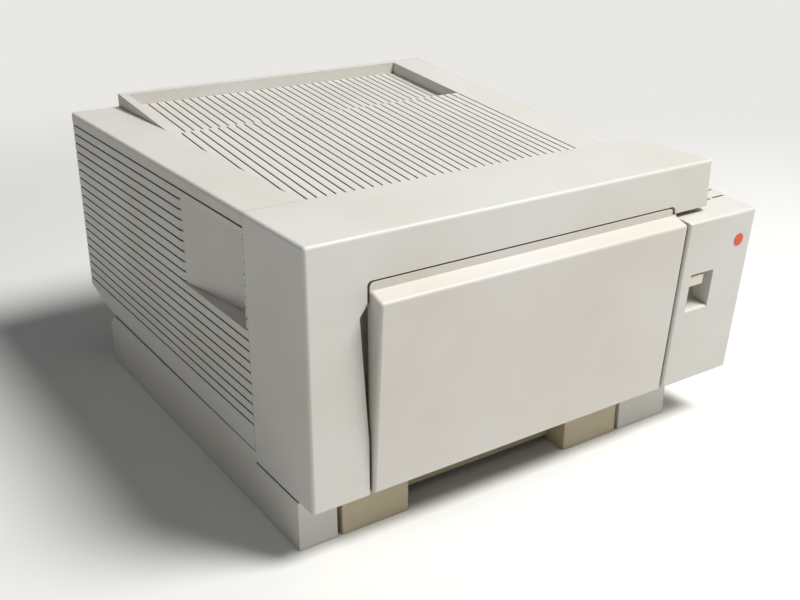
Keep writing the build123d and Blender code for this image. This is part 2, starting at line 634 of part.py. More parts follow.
# Front door and what it carries
def tray_door():
    """Leaning door shell with its ledge and lip, open behind."""
    outline = [DOOR_FOOT, DOOR_CREST, (0.0, DOOR_LEDGE_Z), (0.0, DOOR_LIP_Z), (DOOR_BACK_Y, DOOR_LIP_Z)]
    outline += [(DOOR_BACK_Y, DOOR_FOOT[1])]
    outer = side_profile(DOOR_X, outline)
    crest = [e for e in outer.edges() if e.center().Y < -1.5 and e.center().Z > 60.0]
    outer = fillet(crest, CREST_RADIUS)
    outer = fillet(edges_along_y(outer, DOOR_X[0], DOOR_LIP_Z), LIP_CORNER_RADIUS)
    low = DOOR_FOOT[1] + WALL
    bend, top = DOOR_INSIDE_Z
    lean = [(door_front_y(low) + WALL, low), (door_front_y(bend) + WALL, bend)]
    lean += [(DOOR_BACK_Y + 1, top), (DOOR_BACK_Y + 1, low)]
    inner = side_profile(grown(DOOR_X, -WALL), lean)
    notch_z = (DOOR_FOOT[1] - 1, DOOR_HINGE[1] + 7)
    notches = [box(grown(x, 0.6), (-1.2, DOOR_BACK_Y + 1), notch_z) for x in BRACKET_X]
    door = outer - inner - notches - rod(DOOR_PIN_RADIUS, grown(DOOR_X, 1), DOOR_HINGE) + door_ears()
    lip_z = (DOOR_LEDGE_Z + 0.4, DOOR_LIP_Z + 1)
    door -= box((LIP_END_X, DOOR_X[1] + 1), (-1.0, DOOR_BACK_Y + 1), lip_z)
    return fillet(edges_along_y(door, LIP_END_X, DOOR_LIP_Z), LIP_CORNER_RADIUS)


def door_ears():
    """Ears behind the door's side walls that hold the hinge pins."""
    ears = []
    for x in ((DOOR_X[0], DOOR_X[0] + WALL), (DOOR_X[1] - WALL, DOOR_X[1])):
        ear = box(x, (DOOR_BACK_Y - 1, DOOR_HINGE[0]), (DOOR_HINGE[1] - 4, DOOR_HINGE[1] + 4))
        ear += rod(4.0, x, DOOR_HINGE)
        ears.append(ear - rod(DOOR_PIN_RADIUS, grown(x, 1), DOOR_HINGE))
    return ears


def door_hinge_pins():
    """Pins from the door's ears into the hinge brackets."""
    spans = ((DOOR_X[0], BRACKET_X[0][1] + 0.8), (BRACKET_X[1][0] - 0.8, DOOR_X[1]))
    return [rod(DOOR_PIN_RADIUS, span, DOOR_HINGE) for span in spans]


PLATE_X = (56.0, 295.0)
PLATE_Y = (0.4, 2.8)
PLATE_Z = (56.0, 171.0)
PLATE_EAR_Z = (100.0, 160.0)
GUIDE_SLOT_Z = (108.0, 113.0)
GUIDE_Z = (62.0, 158.0)
GUIDE_FOOT_Z = (86.0, 136.0)
GUIDE_REAR_Y = 17.0
GUIDE_FOOT = 24.0
GUIDE_STUD = (8.0, 16.0)
GUIDE_HALF = 109.0
SHEET_MIDDLE = (DOOR_X[0] + DOOR_X[1]) / 2
GUIDE_TRAVEL = 50.0


def tray_plate():
    """Inner face of the door, which holds the paper when the door is down."""
    plate = box(PLATE_X, PLATE_Y, PLATE_Z)
    for side in (-1, 1):
        inner = SHEET_MIDDLE + side * (GUIDE_HALF - GUIDE_TRAVEL - 22.0)
        outer = SHEET_MIDDLE + side * (GUIDE_HALF - 4.0)
        plate -= box(tuple(sorted((inner, outer))), grown(PLATE_Y, 1), GUIDE_SLOT_Z)
    for x in ((DOOR_X[0] + WALL, PLATE_X[0] + 0.1), (PLATE_X[1] - 0.1, DOOR_X[1] - WALL)):
        plate += box(x, PLATE_Y, PLATE_EAR_Z)
    return plate


def paper_guide(side):
    """Sliding side guide; side is -1 on the left and 1 on the right."""
    wall = SHEET_MIDDLE + side * GUIDE_HALF
    foot = SHEET_MIDDLE + side * (GUIDE_HALF - GUIDE_FOOT)
    front = PLATE_Y[1] + SEAM
    fence = box(tuple(sorted((wall, wall - side * 2.5))), (front, GUIDE_REAR_Y), GUIDE_Z)
    base = box(tuple(sorted((wall, foot))), (front, front + 2), GUIDE_FOOT_Z)
    stud = tuple(sorted(wall - side * reach for reach in GUIDE_STUD))
    tongue = box(stud, (PLATE_Y[0] - 0.6, PLATE_Y[1] + 0.5), grown(GUIDE_SLOT_Z, -0.4))
    return fence + base + tongue


# Right housing with the control box
def housing_top(y):
    """Top of the right housing, parallel to the sloping top."""
    return DOOR_CREST[1] + SLOPE * (y - DOOR_CREST[0])


def housing_outline(inset):
    """Side outline of the control box, moved inwards by inset."""
    low = HOUSING_BOTTOM + inset
    front_top = DOOR_CREST[1] - inset
    front = [(door_front_y(low) + inset, low), (door_front_y(front_top) + inset, front_top)]
    rear = HOUSING_REAR_Y - inset
    return front + [(rear, housing_top(rear) - inset), (rear, low)]


def right_housing():
    """Control box and right side cover, one hollow moulding open towards the frames."""
    outer = side_profile((HOUSING_LEFT_X, TOTAL_WIDTH), housing_outline(0.0))
    step = box((HOUSING_LEFT_X - 1, HOUSING_REAR_X), (HOUSING_STEP_Y, HOUSING_REAR_Y + 1), (0, 300))
    outer = outer - step
    visible = [e for e in outer.edges() if e.center().Y < -1.0 or e.center().X > TOTAL_WIDTH - 0.01]
    outer = fillet(visible, CREST_RADIUS)
    inner = side_profile((HOUSING_LEFT_X + WALL, TOTAL_WIDTH - WALL), housing_outline(WALL))
    behind_step = (HOUSING_STEP_Y - WALL, HOUSING_REAR_Y + 1)
    inner -= box((HOUSING_LEFT_X - 1, HOUSING_REAR_X), behind_step, (0, 300))
    window_x = (HOUSING_REAR_X - 1, HOUSING_REAR_X + WALL + 1)
    window = box(window_x, HOUSING_OPEN_Y, HOUSING_OPEN_Z)
    foot = box((BASE_WIDTH - WALL, HOUSING_REAR_X + 1), HOUSING_OPEN_Y, (SKIRT_TOP, HOUSING_BOTTOM + 1.5))
    shell = outer - inner - window + foot + latch_cup() - latch_hollow() - latch_slot()
    return shell - indicator_disc(INDICATOR_RADIUS, 1.2) - status_windows()


def latch_cup():
    """Walls behind the latch recess."""
    low, high = grown(RECESS_Z, RECESS_WALL)
    rear = RECESS_BACK_Y + RECESS_WALL
    outline = [(door_front_y(low) + 1, low), (door_front_y(high) + 1, high), (rear, high), (rear, low)]
    return side_profile(grown(RECESS_X, RECESS_WALL), outline)


def latch_hollow():
    """The finger recess: its floor starts at a round lip and bends up into the back wall."""
    low, high = RECESS_Z
    radius = RECESS_LIP_RADIUS
    lip_y = door_front_y(low)
    sill = low + radius
    bend = (RECESS_BACK_Y, sill + 2.0)
    outline = [(-20.0, high), (RECESS_BACK_Y, high), bend, (lip_y + radius, sill), (-20.0, sill)]
    hollow = side_profile(RECESS_X, outline)
    hollow = fillet(edges_along_x(hollow, *bend), RECESS_BEND_RADIUS)
    lip = box(RECESS_X, (-20.0, lip_y + radius), (low, sill + 0.01))
    return hollow + (lip - rod(radius, grown(RECESS_X, 1), (lip_y + radius, low)))


def indicator_disc(radius, depth):
    """A disc square to the leaning front plane, at the indicator's place."""
    x, z = INDICATOR
    lean = math.degrees(math.atan2(DOOR_FOOT[0] - DOOR_CREST[0], DOOR_CREST[1] - DOOR_FOOT[1]))
    disc = Cylinder(radius, 2 * depth)
    return Pos(x, door_front_y(z), z) * Rot(90 + lean, 0, 0) * disc


def indicator_lens():
    """Round coloured lens in its seat, a little proud of the box."""
    low = INDICATOR[1] - 2 * INDICATOR_RADIUS
    high = INDICATOR[1] + 2 * INDICATOR_RADIUS
    proud = 0.3
    outline = [(door_front_y(low) - proud, low), (door_front_y(high) - proud, high)]
    outline += [(0.0, high), (0.0, low)]
    side = (INDICATOR[0] - 2 * INDICATOR_RADIUS, INDICATOR[0] + 2 * INDICATOR_RADIUS)
    return indicator_disc(INDICATOR_RADIUS, 1.2) & side_profile(side, outline)


def release_latch():
    """Sliding latch tab, its stem and the plate that keeps it in the slot."""
    low, high = LATCH_TAB_Z
    face = [(door_front_y(low) + 1.0, low), (door_front_y(high) + 1.0, high)]
    tab = side_profile(LATCH_TAB_X, face + [(y + WALL, z) for y, z in reversed(face)])
    rear = RECESS_BACK_Y + RECESS_WALL
    stem = box(LATCH_STEM_X, (-6.0, rear + 2.0), LATCH_STEM_Z)
    keeper = box(grown(LATCH_STEM_X, 2.0), (rear + 0.4, rear + 2.0), grown(LATCH_STEM_Z, 2.0))
    return tab + stem + keeper


def latch_slot():
    """Slot in the back wall of the recess, in which the latch's stem slides."""
    x = (LATCH_STEM_X[0] - 0.4, LATCH_STEM_X[1] + LATCH_TRAVEL + 0.4)
    return box(x, (RECESS_BACK_Y - 1, RECESS_BACK_Y + RECESS_WALL + 1), grown(LATCH_STEM_Z, 0.4))


def status_windows():
    """Three small dark windows of the status lights, flush in the box's top."""
    lights = []
    for x, y in STATUS_MARKS:
        z = housing_top(y)
        outline = [(y - 0.8, z + 0.05), (y + 0.8, z + 0.22), (y + 0.8, z - 1.0), (y - 0.8, z - 1.2)]
        lights.append(side_profile(x, outline))
    return lights


# Lower body
def base_housing():
    """Skirt of the lower body: side walls down to the floor, front corners and rear wall."""
    cut_y, cut_z = SWING_CUT
    outline = [(PLINTH_Y, 0), (BASE_REAR_Y, 0), (BASE_REAR_Y, cut_z), (cut_y, REAR_WALL_TOP)]
    outline += [(BEAM_DEPTH, cover_bottom_z(BEAM_DEPTH) - 0.8)]
    outline += [(BEAM_DEPTH, SKIRT_TOP), (PLINTH_Y, SKIRT_TOP)]
    left = side_profile((0, WALL), outline)
    right = box((BASE_WIDTH - WALL, BASE_WIDTH), (PLINTH_Y, BASE_REAR_Y), (0, SKIRT_TOP))
    rear_y = (BASE_REAR_Y - WALL, BASE_REAR_Y)
    rear = box((0, BASE_WIDTH), rear_y, (0, cut_z))
    rear += box((WALL + 0.3, BASE_WIDTH), rear_y, (0, REAR_WALL_TOP))
    skirt = left + right + rear
    for x in CORNER_X:
        corner = box(x, (PLINTH_Y, PLINTH_Y + CORNER_DEPTH), (0, SKIRT_TOP))
        skirt += corner - box(grown(x, -WALL), (PLINTH_Y + WALL, 80), (-1, SKIRT_TOP - WALL))
    return skirt - rear_openings() + switch_bezel()


INLET_X = (60.0, 88.0)
INLET_Z = (17.0, 37.0)
SWITCH_X = (98.0, 112.0)
SWITCH_Z = (17.0, 37.0)
PORTS = ((150.0, 14.0), (176.0, 14.0), (204.0, 54.0))
PORT_Z = (20.0, 33.0)


def rear_openings():
    """Holes in the rear wall for the inlet, the switch and the ports."""
    span = (BASE_REAR_Y - WALL - 1, BASE_REAR_Y + 1)
    holes = [box(INLET_X, span, INLET_Z), box(SWITCH_X, span, SWITCH_Z)]
    return holes + [box((x, x + width), span, PORT_Z) for x, width in PORTS]


def chassis_pan():
    """Inner floor with the two front legs, the recessed front wall and the hinge brackets."""
    pan = box((WALL, BASE_WIDTH - WALL), (PLINTH_Y + CORNER_DEPTH, BASE_REAR_Y - WALL), PAN_Z)
    front_wall = (CORNER_X[0][1] + 1.2, CORNER_X[1][0] - 1.2)
    pan += box(front_wall, (PLINTH_Y + LEG_DEPTH - WALL, PLINTH_Y + CORNER_DEPTH + 1), PAN_Z)
    pan += box(front_wall, (PLINTH_Y + LEG_DEPTH - WALL, PLINTH_Y + LEG_DEPTH), PAN_FRONT_Z)
    for x in LEG_X:
        leg = box(x, (PLINTH_Y, PLINTH_Y + LEG_DEPTH), (0.0, PAN_FRONT_Z[1]))
        front = [e for e in leg.edges() if e.center().Y < PLINTH_Y + 0.01 and e.center().Z > 1.0]
        pan += fillet(front, 1.0)
    for x in BRACKET_X:
        pan += hinge_bracket(x)
    return pan


def hinge_bracket(x):
    """Arm that reaches forward over a leg to the door's hinge, and holds the lift plate."""
    rear = PLINTH_Y + CORNER_DEPTH + 0.5
    outline = [(DOOR_HINGE[0], DOOR_HINGE[1] - BRACKET_BOSS), (34.0, SKIRT_TOP), (rear, SKIRT_TOP)]
    outline += [(rear, PAN_Z[0]), (rear + 4.0, PAN_Z[0]), (rear + 4.0, 54.0)]
    outline += [(DOOR_HINGE[0], DOOR_HINGE[1] + BRACKET_BOSS)]
    arm = side_profile(x, outline) + rod(BRACKET_BOSS, x, DOOR_HINGE)
    arm -= rod(DOOR_PIN_RADIUS + RUNNING_CLEARANCE, grown(x, 1), DOOR_HINGE)
    return arm - rod(LIFT_PIN_RADIUS + RUNNING_CLEARANCE, grown(x, 1), LIFT_HINGE)


def lift_plate():
    """Plate that lifts the front of the paper stack to the pickup roller."""
    plate = box(LIFT_X, LIFT_Y, LIFT_Z)
    ear_z = (LIFT_Z[0] - LIFT_EAR[1], LIFT_Z[1] - 0.5)
    for x in ((LIFT_X[0], LIFT_X[0] + 2), (LIFT_X[1] - 2, LIFT_X[1])):
        plate += box(x, (LIFT_Y[0], LIFT_Y[0] + LIFT_EAR[0]), ear_z)
    pin = (BRACKET_X[0][0] - 1.2, BRACKET_X[1][1] + 1.3)
    return plate + rod(LIFT_PIN_RADIUS, pin, LIFT_HINGE)


def rubber_feet():
    """Four round feet under the pan."""
    places = [(x, y) for y in FOOT_Y for x in FOOT_X]
    return [upright(FOOT_RADIUS, (0.0, PAN_Z[0]), place) for place in places]


# Frames, guides and rollers inside
def frame_plate(x, front_top):
    """One side frame on the pan; front_top is the height of its front corner."""
    front = PLINTH_Y + CORNER_DEPTH + 1.7
    rear = ARM_Y[1]
    outline = [(front, PAN_Z[1]), (rear, PAN_Z[1]), (rear, 56.0), (335.0, 62.0)]
    outline += [(318.0, FRAME_TOP), (92.0, FRAME_TOP), (88.0, front_top), (50.0, front_top)]
    outline.append((front, FRAME_TOP - 2))
    plate = side_profile(x, outline)
    plate -= rod(UPPER_PIN_RADIUS + RUNNING_CLEARANCE, grown(x, 1), UPPER_HINGE)
    plate -= box(grown(x, 1), (DRUM[0] - DRUM_SLOT, DRUM[0] + DRUM_SLOT), (DRUM[1] - DRUM_SLOT, 160.0))
    for centre, radius in BUSHES:
        plate -= rod(radius + BUSH_WALL, grown(x, 1), centre)
    return plate


BUSH_WALL = 2.5
BUSHES = tuple((centre, SHAFT_RADIUS) for centre in (PICKUP, REGISTRATION, TRANSFER))
BUSHES += ((HOT, HOT_JOURNAL_RADIUS),)


def side_frame_left():
    """Left frame with the fan opening beside it."""
    return frame_plate(FRAME_LEFT_X, 160.0) - box(grown(FRAME_LEFT_X, 1), (258.0, 312.0), (70.0, 110.0))


def side_frame_right():
    """Right frame with the riveted studs of the idle gears and the motor's hole."""
    frame = frame_plate(FRAME_RIGHT_X, 182.0) - rod(6.0, grown(FRAME_RIGHT_X, 1), MOTOR)
    for name in ("main", "drum_idler", "fuser_idler", "registration_idler", "exit_idler"):
        frame += rod(STUD_RADIUS, (FRAME_RIGHT_X[1] - 1, GEAR_X[1] + 1.5), TRAIN[name][0])
    return frame


STUD_RADIUS = 2.5


def roller_bushes():
    """Plain bushes of the roller shafts, in both frames."""
    rings = []
    for x in (grown(FRAME_LEFT_X, 0.7), grown(FRAME_RIGHT_X, 0.7)):
        for centre, radius in BUSHES:
            bore = rod(radius + RUNNING_CLEARANCE, grown(x, 1), centre)
            rings.append(rod(radius + BUSH_WALL, x, centre) - bore)
    return rings


def frame_stays():
    """Cross bars that hold the two frames apart."""
    span = (FRAME_LEFT_X[1], FRAME_RIGHT_X[0])
    return [rod(STAY_RADIUS, span, place) for place in STAYS]


def paper_turn_guide():
    """Sheet guide: flat under the first run, half round where the sheet turns over at the rear."""
    span = (FRAME_LEFT_X[1], FRAME_RIGHT_X[0])
    outside = TURN_RADIUS + TURN_SHEET
    middle_y, middle_z = TURN_CENTRE
    ring = rod(outside, span, TURN_CENTRE) - rod(TURN_RADIUS, grown(span, 1), TURN_CENTRE)
    ring -= box(grown(span, 1), (middle_y - outside - 1, middle_y), (middle_z - 40, middle_z + 40))
    return ring + box(span, (FIRST_RUN_Y, middle_y), (middle_z - outside, middle_z - TURN_RADIUS))


def transport_guide():
    """Guide from the drum to the fuser."""
    front, rear = PRESSURE[0] + 30.0, DRUM[0] - 14.0
    outline = [(rear, 116.0), (front, 122.5), (front, 121.0), (rear, 114.5)]
    return side_profile((FRAME_LEFT_X[1], FRAME_RIGHT_X[0]), outline)


PAD_X = (140.0, 212.0)
PAD_Y = (98.0, 122.0)
PAD_THICKNESS = 3.0


def separation_pad():
    """Cork-faced pad under the pickup roller that holds back the second sheet."""
    top = PICKUP[1] - PICKUP_RADIUS - NIP_GAP
    holder = box(PAD_X, PAD_Y, (PAN_Z[1], top - PAD_THICKNESS))
    pad_y = (PAD_Y[0] + 2, PAD_Y[1] - 4)
    return holder + box(grown(PAD_X, -16.0), pad_y, (top - PAD_THICKNESS, top))


def pickup_roller():
    """Rubber pickup roller."""
    x = (154.0, 198.0)
    return rod(PICKUP_RADIUS, x, PICKUP) - rod(SHAFT_RADIUS, grown(x, 1), PICKUP)


def pickup_shaft():
    """Steel shaft of the pickup roller, with its gear pressed on."""
    return rod(SHAFT_RADIUS, JOURNAL_X, PICKUP) + train_gear("pickup", SHAFT_RADIUS - 0.1)


def registration_roller():
    """Registration roller with its moulded gear."""
    body = rod(REGISTRATION_RADIUS, ROLLER_X, REGISTRATION) + rod(SHAFT_RADIUS, JOURNAL_X, REGISTRATION)
    return body + train_gear("registration", SHAFT_RADIUS - 0.1)


def transfer_roller():
    """Foam transfer roller under the drum, with its gear."""
    body = rod(TRANSFER_RADIUS, ROLLER_X, TRANSFER) + rod(SHAFT_RADIUS, JOURNAL_X, TRANSFER)
    return body + train_gear("transfer", SHAFT_RADIUS - 0.1)


def photosensitive_drum():
    """Coated drum with its journals and gear."""
    body = rod(DRUM_RADIUS, ROLLER_X, DRUM) + rod(SHAFT_RADIUS, JOURNAL_X, DRUM)
    return body + train_gear("drum", SHAFT_RADIUS - 0.1)


def hot_roller():
    """Hollow heated roller of the fuser."""
    body = rod(HOT_RADIUS, ROLLER_X, HOT) + rod(HOT_JOURNAL_RADIUS, JOURNAL_X, HOT)
    return body - rod(6.0, (40.0, 325.0), HOT)


def pressure_roller():
    """Silicone pressure roller of the fuser."""
    return rod(PRESSURE_RADIUS, ROLLER_X, PRESSURE) + rod(SHAFT_RADIUS, (50.0, 307.0), PRESSURE)


def fuser_lamp():
    """Halogen lamp through the hot roller, with its ceramic ends and its spring bracket."""
    lamp = rod(4.0, (43.5, 325.0), HOT) + rod(5.0, (42.8, 44.5), HOT) + rod(5.0, (322.0, 325.5), HOT)
    height = (HOT[1] - 6.0, HOT[1] + 6.0)
    lamp += box((325.0, 326.5), (46.0, HOT[0] + 6.0), height)
    return lamp + box((FRAME_RIGHT_X[1], 326.5), (46.0, 47.5), height)


def fuser_frame():
    """Heat-proof casing round the fuser rollers, open at the nip."""
    y = (HOT[0] - 20.0, HOT[0] + 24.0)
    top = HOT[1] + 18.0
    low = PRESSURE[1] - 15.0
    nip = HOT[1] - HOT_RADIUS
    casing = box((ROLLER_X[0] - 9, ROLLER_X[1] + 7), y, (low, top))
    casing -= box((ROLLER_X[0] - 6, ROLLER_X[1] + 4), grown(y, -2.5), (low + 2.5, top - 2.5))
    casing -= box((ROLLER_X[0] - 6, ROLLER_X[1] + 4), grown(y, 1), (nip - 5, nip + 6))
    for centre, radius in ((HOT, HOT_JOURNAL_RADIUS + 0.4), (PRESSURE, SHAFT_RADIUS + RUNNING_CLEARANCE)):
        casing -= rod(radius, (ROLLER_X[0] - 10, ROLLER_X[1] + 8), centre)
    return casing


# Toner cartridge
CARTRIDGE_X = (53.0, 303.0)


def cartridge_body():
    """Waste bin, end walls and bridge of the toner cartridge."""
    bin_y = (DRUM[0] - 56.0, DRUM[0] - 18.0)
    body = box(CARTRIDGE_X, bin_y, (DRUM[1] - 5.0, 168.0))
    body -= box(grown(CARTRIDGE_X, -2.5), grown(bin_y, -2.5), (DRUM[1] - 2.5, 165.5))
    for x in ((CARTRIDGE_X[0], CARTRIDGE_X[0] + 3), (CARTRIDGE_X[1] - 3, CARTRIDGE_X[1])):
        end = box(x, (bin_y[1] - 1, DRUM[0] + 30.0), (DRUM[1] - 10.0, 168.0))
        end -= rod(SHAFT_RADIUS + RUNNING_CLEARANCE, grown(x, 1), DRUM)
        body += end - rod(3.0 + RUNNING_CLEARANCE, grown(x, 1), DEVELOPER)
    bridge = box(CARTRIDGE_X, (bin_y[1] - 1, DRUM[0] - 8.0), (165.0, 168.0))
    return body + bridge


def toner_hopper():
    """Toner hopper behind the developer roller, with its handle rib."""
    front, rear = DRUM[0] + 30.0, DRUM[0] + 72.0
    outline = [(front, 168.0), (rear, 168.0), (rear, 140.0), (front + 12.0, 132.0), (front, 132.0)]
    hopper = side_profile(CARTRIDGE_X, outline)
    return hopper + box((140.0, 216.0), (DRUM[0] + 60.0, DRUM[0] + 68.0), (168.0, 171.5))


def developer_roller():
    """Developer roller between hopper and drum."""
    return rod(DEVELOPER_RADIUS, ROLLER_X, DEVELOPER) + rod(3.0, (52.0, 304.0), DEVELOPER)


# Drive, electrics and cooling
def main_motor():
    """Drive motor inside the right frame."""
    can = rod(19.0, (286.0, 310.5), MOTOR)
    flange = box((310.5, 312.0), (MOTOR[0] - 22, MOTOR[0] + 22), (MOTOR[1] - 22, MOTOR[1] + 14))
    return can + flange - rod(2.5 + RUNNING_CLEARANCE, (305.0, 320.0), MOTOR)


def motor_pinion():
    """Motor shaft with its pinion."""
    return train_gear("motor", 2.4) + rod(2.5, (306.0, 323.0), MOTOR)


def idle_gear(name):
    """A gear that turns free on its stud."""
    return train_gear(name, STUD_RADIUS + RUNNING_CLEARANCE)


POWER_BOARD_X = (56.0, 186.0)
POWER_BOARD_Y = (170.0, 344.0)
BOARD_Z = (16.0, 17.6)
TRANSFORMER = ((70.0, 112.0), (240.0, 280.0), 30.0)
HEAT_SINK = ((124.0, 178.0), (250.0, 256.0), 28.0)


def power_supply_board():
    """Power supply board with its parts, on its four posts."""
    board = box(POWER_BOARD_X, POWER_BOARD_Y, BOARD_Z)
    return board + board_posts(POWER_BOARD_X, POWER_BOARD_Y) + power_supply_parts()


def board_posts(x, y):
    """Posts under the corners of a board."""
    places = [(px, py) for px in (x[0] + 5, x[1] - 5) for py in (y[0] + 5, y[1] - 5)]
    return [upright(3.0, (PAN_Z[1], BOARD_Z[0] + 0.5), place) for place in places]


def power_supply_parts():
    """Transformer, heat sink and capacitors on the power supply board."""
    top = BOARD_Z[1]
    pieces = [box(x, y, (top, top + height)) for x, y, height in (TRANSFORMER, HEAT_SINK)]
    pieces += [upright(9.0, (top, top + 30), (x, 206.0)) for x in (80.0, 104.0)]
    pieces += [upright(5.0, (top, top + 20), (x, 190.0)) for x in (130.0, 145.0, 160.0)]
    return pieces


CONTROLLER_X = (196.0, 304.0)
CONTROLLER_Y = (150.0, 330.0)
PROCESSOR = ((220.0, 245.0), (180.0, 205.0))
FIRST_CHIP = (212.0, 225.0)
CHIP_PITCH = (22.0, 18.0)
CHIP_SIZE = (18.0, 8.0, 4.0)


def controller_board():
    """Controller board with its chips, on its four posts."""
    board = box(CONTROLLER_X, CONTROLLER_Y, BOARD_Z)
    return board + board_posts(CONTROLLER_X, CONTROLLER_Y) + controller_chips()


def controller_chips():
    """Processor and rows of memory chips."""
    top = BOARD_Z[1]
    width, depth, height = CHIP_SIZE
    chips = [box(*PROCESSOR, (top, top + height))]
    for row in range(4):
        for column in range(4):
            x = FIRST_CHIP[0] + CHIP_PITCH[0] * column
            y = FIRST_CHIP[1] + CHIP_PITCH[1] * row
            chips.append(box((x, x + width), (y, y + depth), (top, top + height)))
    return chips


def power_inlet():
    """Mains inlet with its three blades in a deep socket."""
    rear = BASE_REAR_Y
    body = box(INLET_X, (rear - 20.0, rear), INLET_Z)
    body += box(grown(INLET_X, 2.5), (rear, rear + 1.5), grown(INLET_Z, 2.0))
    body -= box(grown(INLET_X, -3.0), (rear - 16, rear + 3), grown(INLET_Z, -3.0))
    middle = (INLET_X[0] + INLET_X[1]) / 2
    for x in (middle - 7, middle, middle + 7):
        body += box((x - 1, x + 1), (rear - 17, rear - 2), (24.0, 30.0))
    return body


SWITCH_PIVOT = (BASE_REAR_Y - 6.0, 27.0)


def switch_bezel():
    """Frame of the power switch, with the rocker's pivot holes."""
    rear = BASE_REAR_Y
    bezel = box(SWITCH_X, (rear - 14, rear), SWITCH_Z)
    bezel += box(grown(SWITCH_X, 1.5), (rear, rear + 1.2), grown(SWITCH_Z, 1.5))
    bezel -= box(grown(SWITCH_X, -1.5), (rear - 13, rear + 2), grown(SWITCH_Z, -1.5))
    return bezel - rod(1.0 + RUNNING_CLEARANCE, grown(SWITCH_X, 1), SWITCH_PIVOT)


def power_rocker():
    """Rocker of the power switch, on its cross pin."""
    y = SWITCH_PIVOT[0]
    outline = [(y - 3, 22.0), (y + 4.5, 20.4), (y + 6.6, 27.0), (y + 8.2, 33.6), (y - 3, 32.0)]
    return side_profile(grown(SWITCH_X, -1.9), outline) + rod(1.0, grown(SWITCH_X, -0.1), SWITCH_PIVOT)


def port_connectors():
    """Two round sockets and one wide connector in the rear wall."""
    ports = []
    for x, width in PORTS:
        shell = box((x, x + width), (BASE_REAR_Y - 12, BASE_REAR_Y + 0.8), PORT_Z)
        if width < 20:
            hole = Pos(x + width / 2, BASE_REAR_Y, 26.5) * Rot(90, 0, 0) * Cylinder(4.6, 12)
        else:
            hole = box((x + 7, x + width - 7), (BASE_REAR_Y - 6, BASE_REAR_Y + 1), (22.8, 30.2))
        ports.append(shell - hole)
    return ports


FAN_X = (16.0, 40.0)
FAN_CENTRE = (285.0, 90.0)
FAN_RADIUS = 27.0


def fan_frame():
    """Square fan frame with its hub on three struts, held by the left frame."""
    y = grown((FAN_CENTRE[0], FAN_CENTRE[0]), 30.0)
    z = grown((FAN_CENTRE[1], FAN_CENTRE[1]), 30.0)
    frame = box(FAN_X, y, z) - rod(FAN_RADIUS + 1.0, grown(FAN_X, 1), FAN_CENTRE)
    strut_x = (FAN_X[1] - 3, FAN_X[1])
    hub = rod(10.0, strut_x, FAN_CENTRE)
    for turn in (0.0, 120.0, 240.0):
        end = polar(FAN_CENTRE, FAN_RADIUS + 2.0, turn)
        corners = [polar(FAN_CENTRE, 2.0, turn + 90), polar(end, 2.0, turn + 90)]
        corners += [polar(end, 2.0, turn - 90), polar(FAN_CENTRE, 2.0, turn - 90)]
        hub += side_profile(strut_x, corners)
    feet = box((FAN_X[1] - 0.1, FRAME_LEFT_X[0]), (y[0], y[0] + 6), (z[0], z[0] + 6))
    feet += box((FAN_X[1] - 0.1, FRAME_LEFT_X[0]), (y[1] - 6, y[1]), (z[0], z[0] + 6))
    return frame + hub + feet + rod(2.0, (FAN_X[0] + 8, FAN_X[1] - 2), FAN_CENTRE)


def fan_rotor():
    """Seven-bladed rotor on the hub's spindle."""
    x = (FAN_X[0] + 3, FAN_X[1] - 5)
    rotor = rod(11.0, x, FAN_CENTRE)
    for blade in range(7):
        start = blade * 360.0 / 7
        corners = [polar(FAN_CENTRE, 10.0, start), polar(FAN_CENTRE, FAN_RADIUS, start + 16.0)]
        corners += [polar(FAN_CENTRE, FAN_RADIUS, start + 24.0), polar(FAN_CENTRE, 10.0, start + 16.0)]
        rotor += side_profile((x[0] + 1, x[1] - 1), corners)
    return rotor - rod(2.0 + RUNNING_CLEARANCE, (FAN_X[0] + 7.5, FAN_X[1]), FAN_CENTRE)


def cover_screws():
    """Screws that hold the rear cover to the flanges of the upper frame, heads sunk."""
    screws = []
    for x, z in SCREW_PLACES:
        head = along_y(SCREW_HEAD_RADIUS, (DEPTH - 1.4, DEPTH - 0.1), (x, z))
        shank = along_y(SCREW_RADIUS, (FLANGE_Y[0], DEPTH - 1.3), (x, z))
        slot = box((x - 2.6, x + 2.6), (DEPTH - 0.8, DEPTH), (z - 0.5, z + 0.5))
        screws.append(head + shank - slot)
    return screws


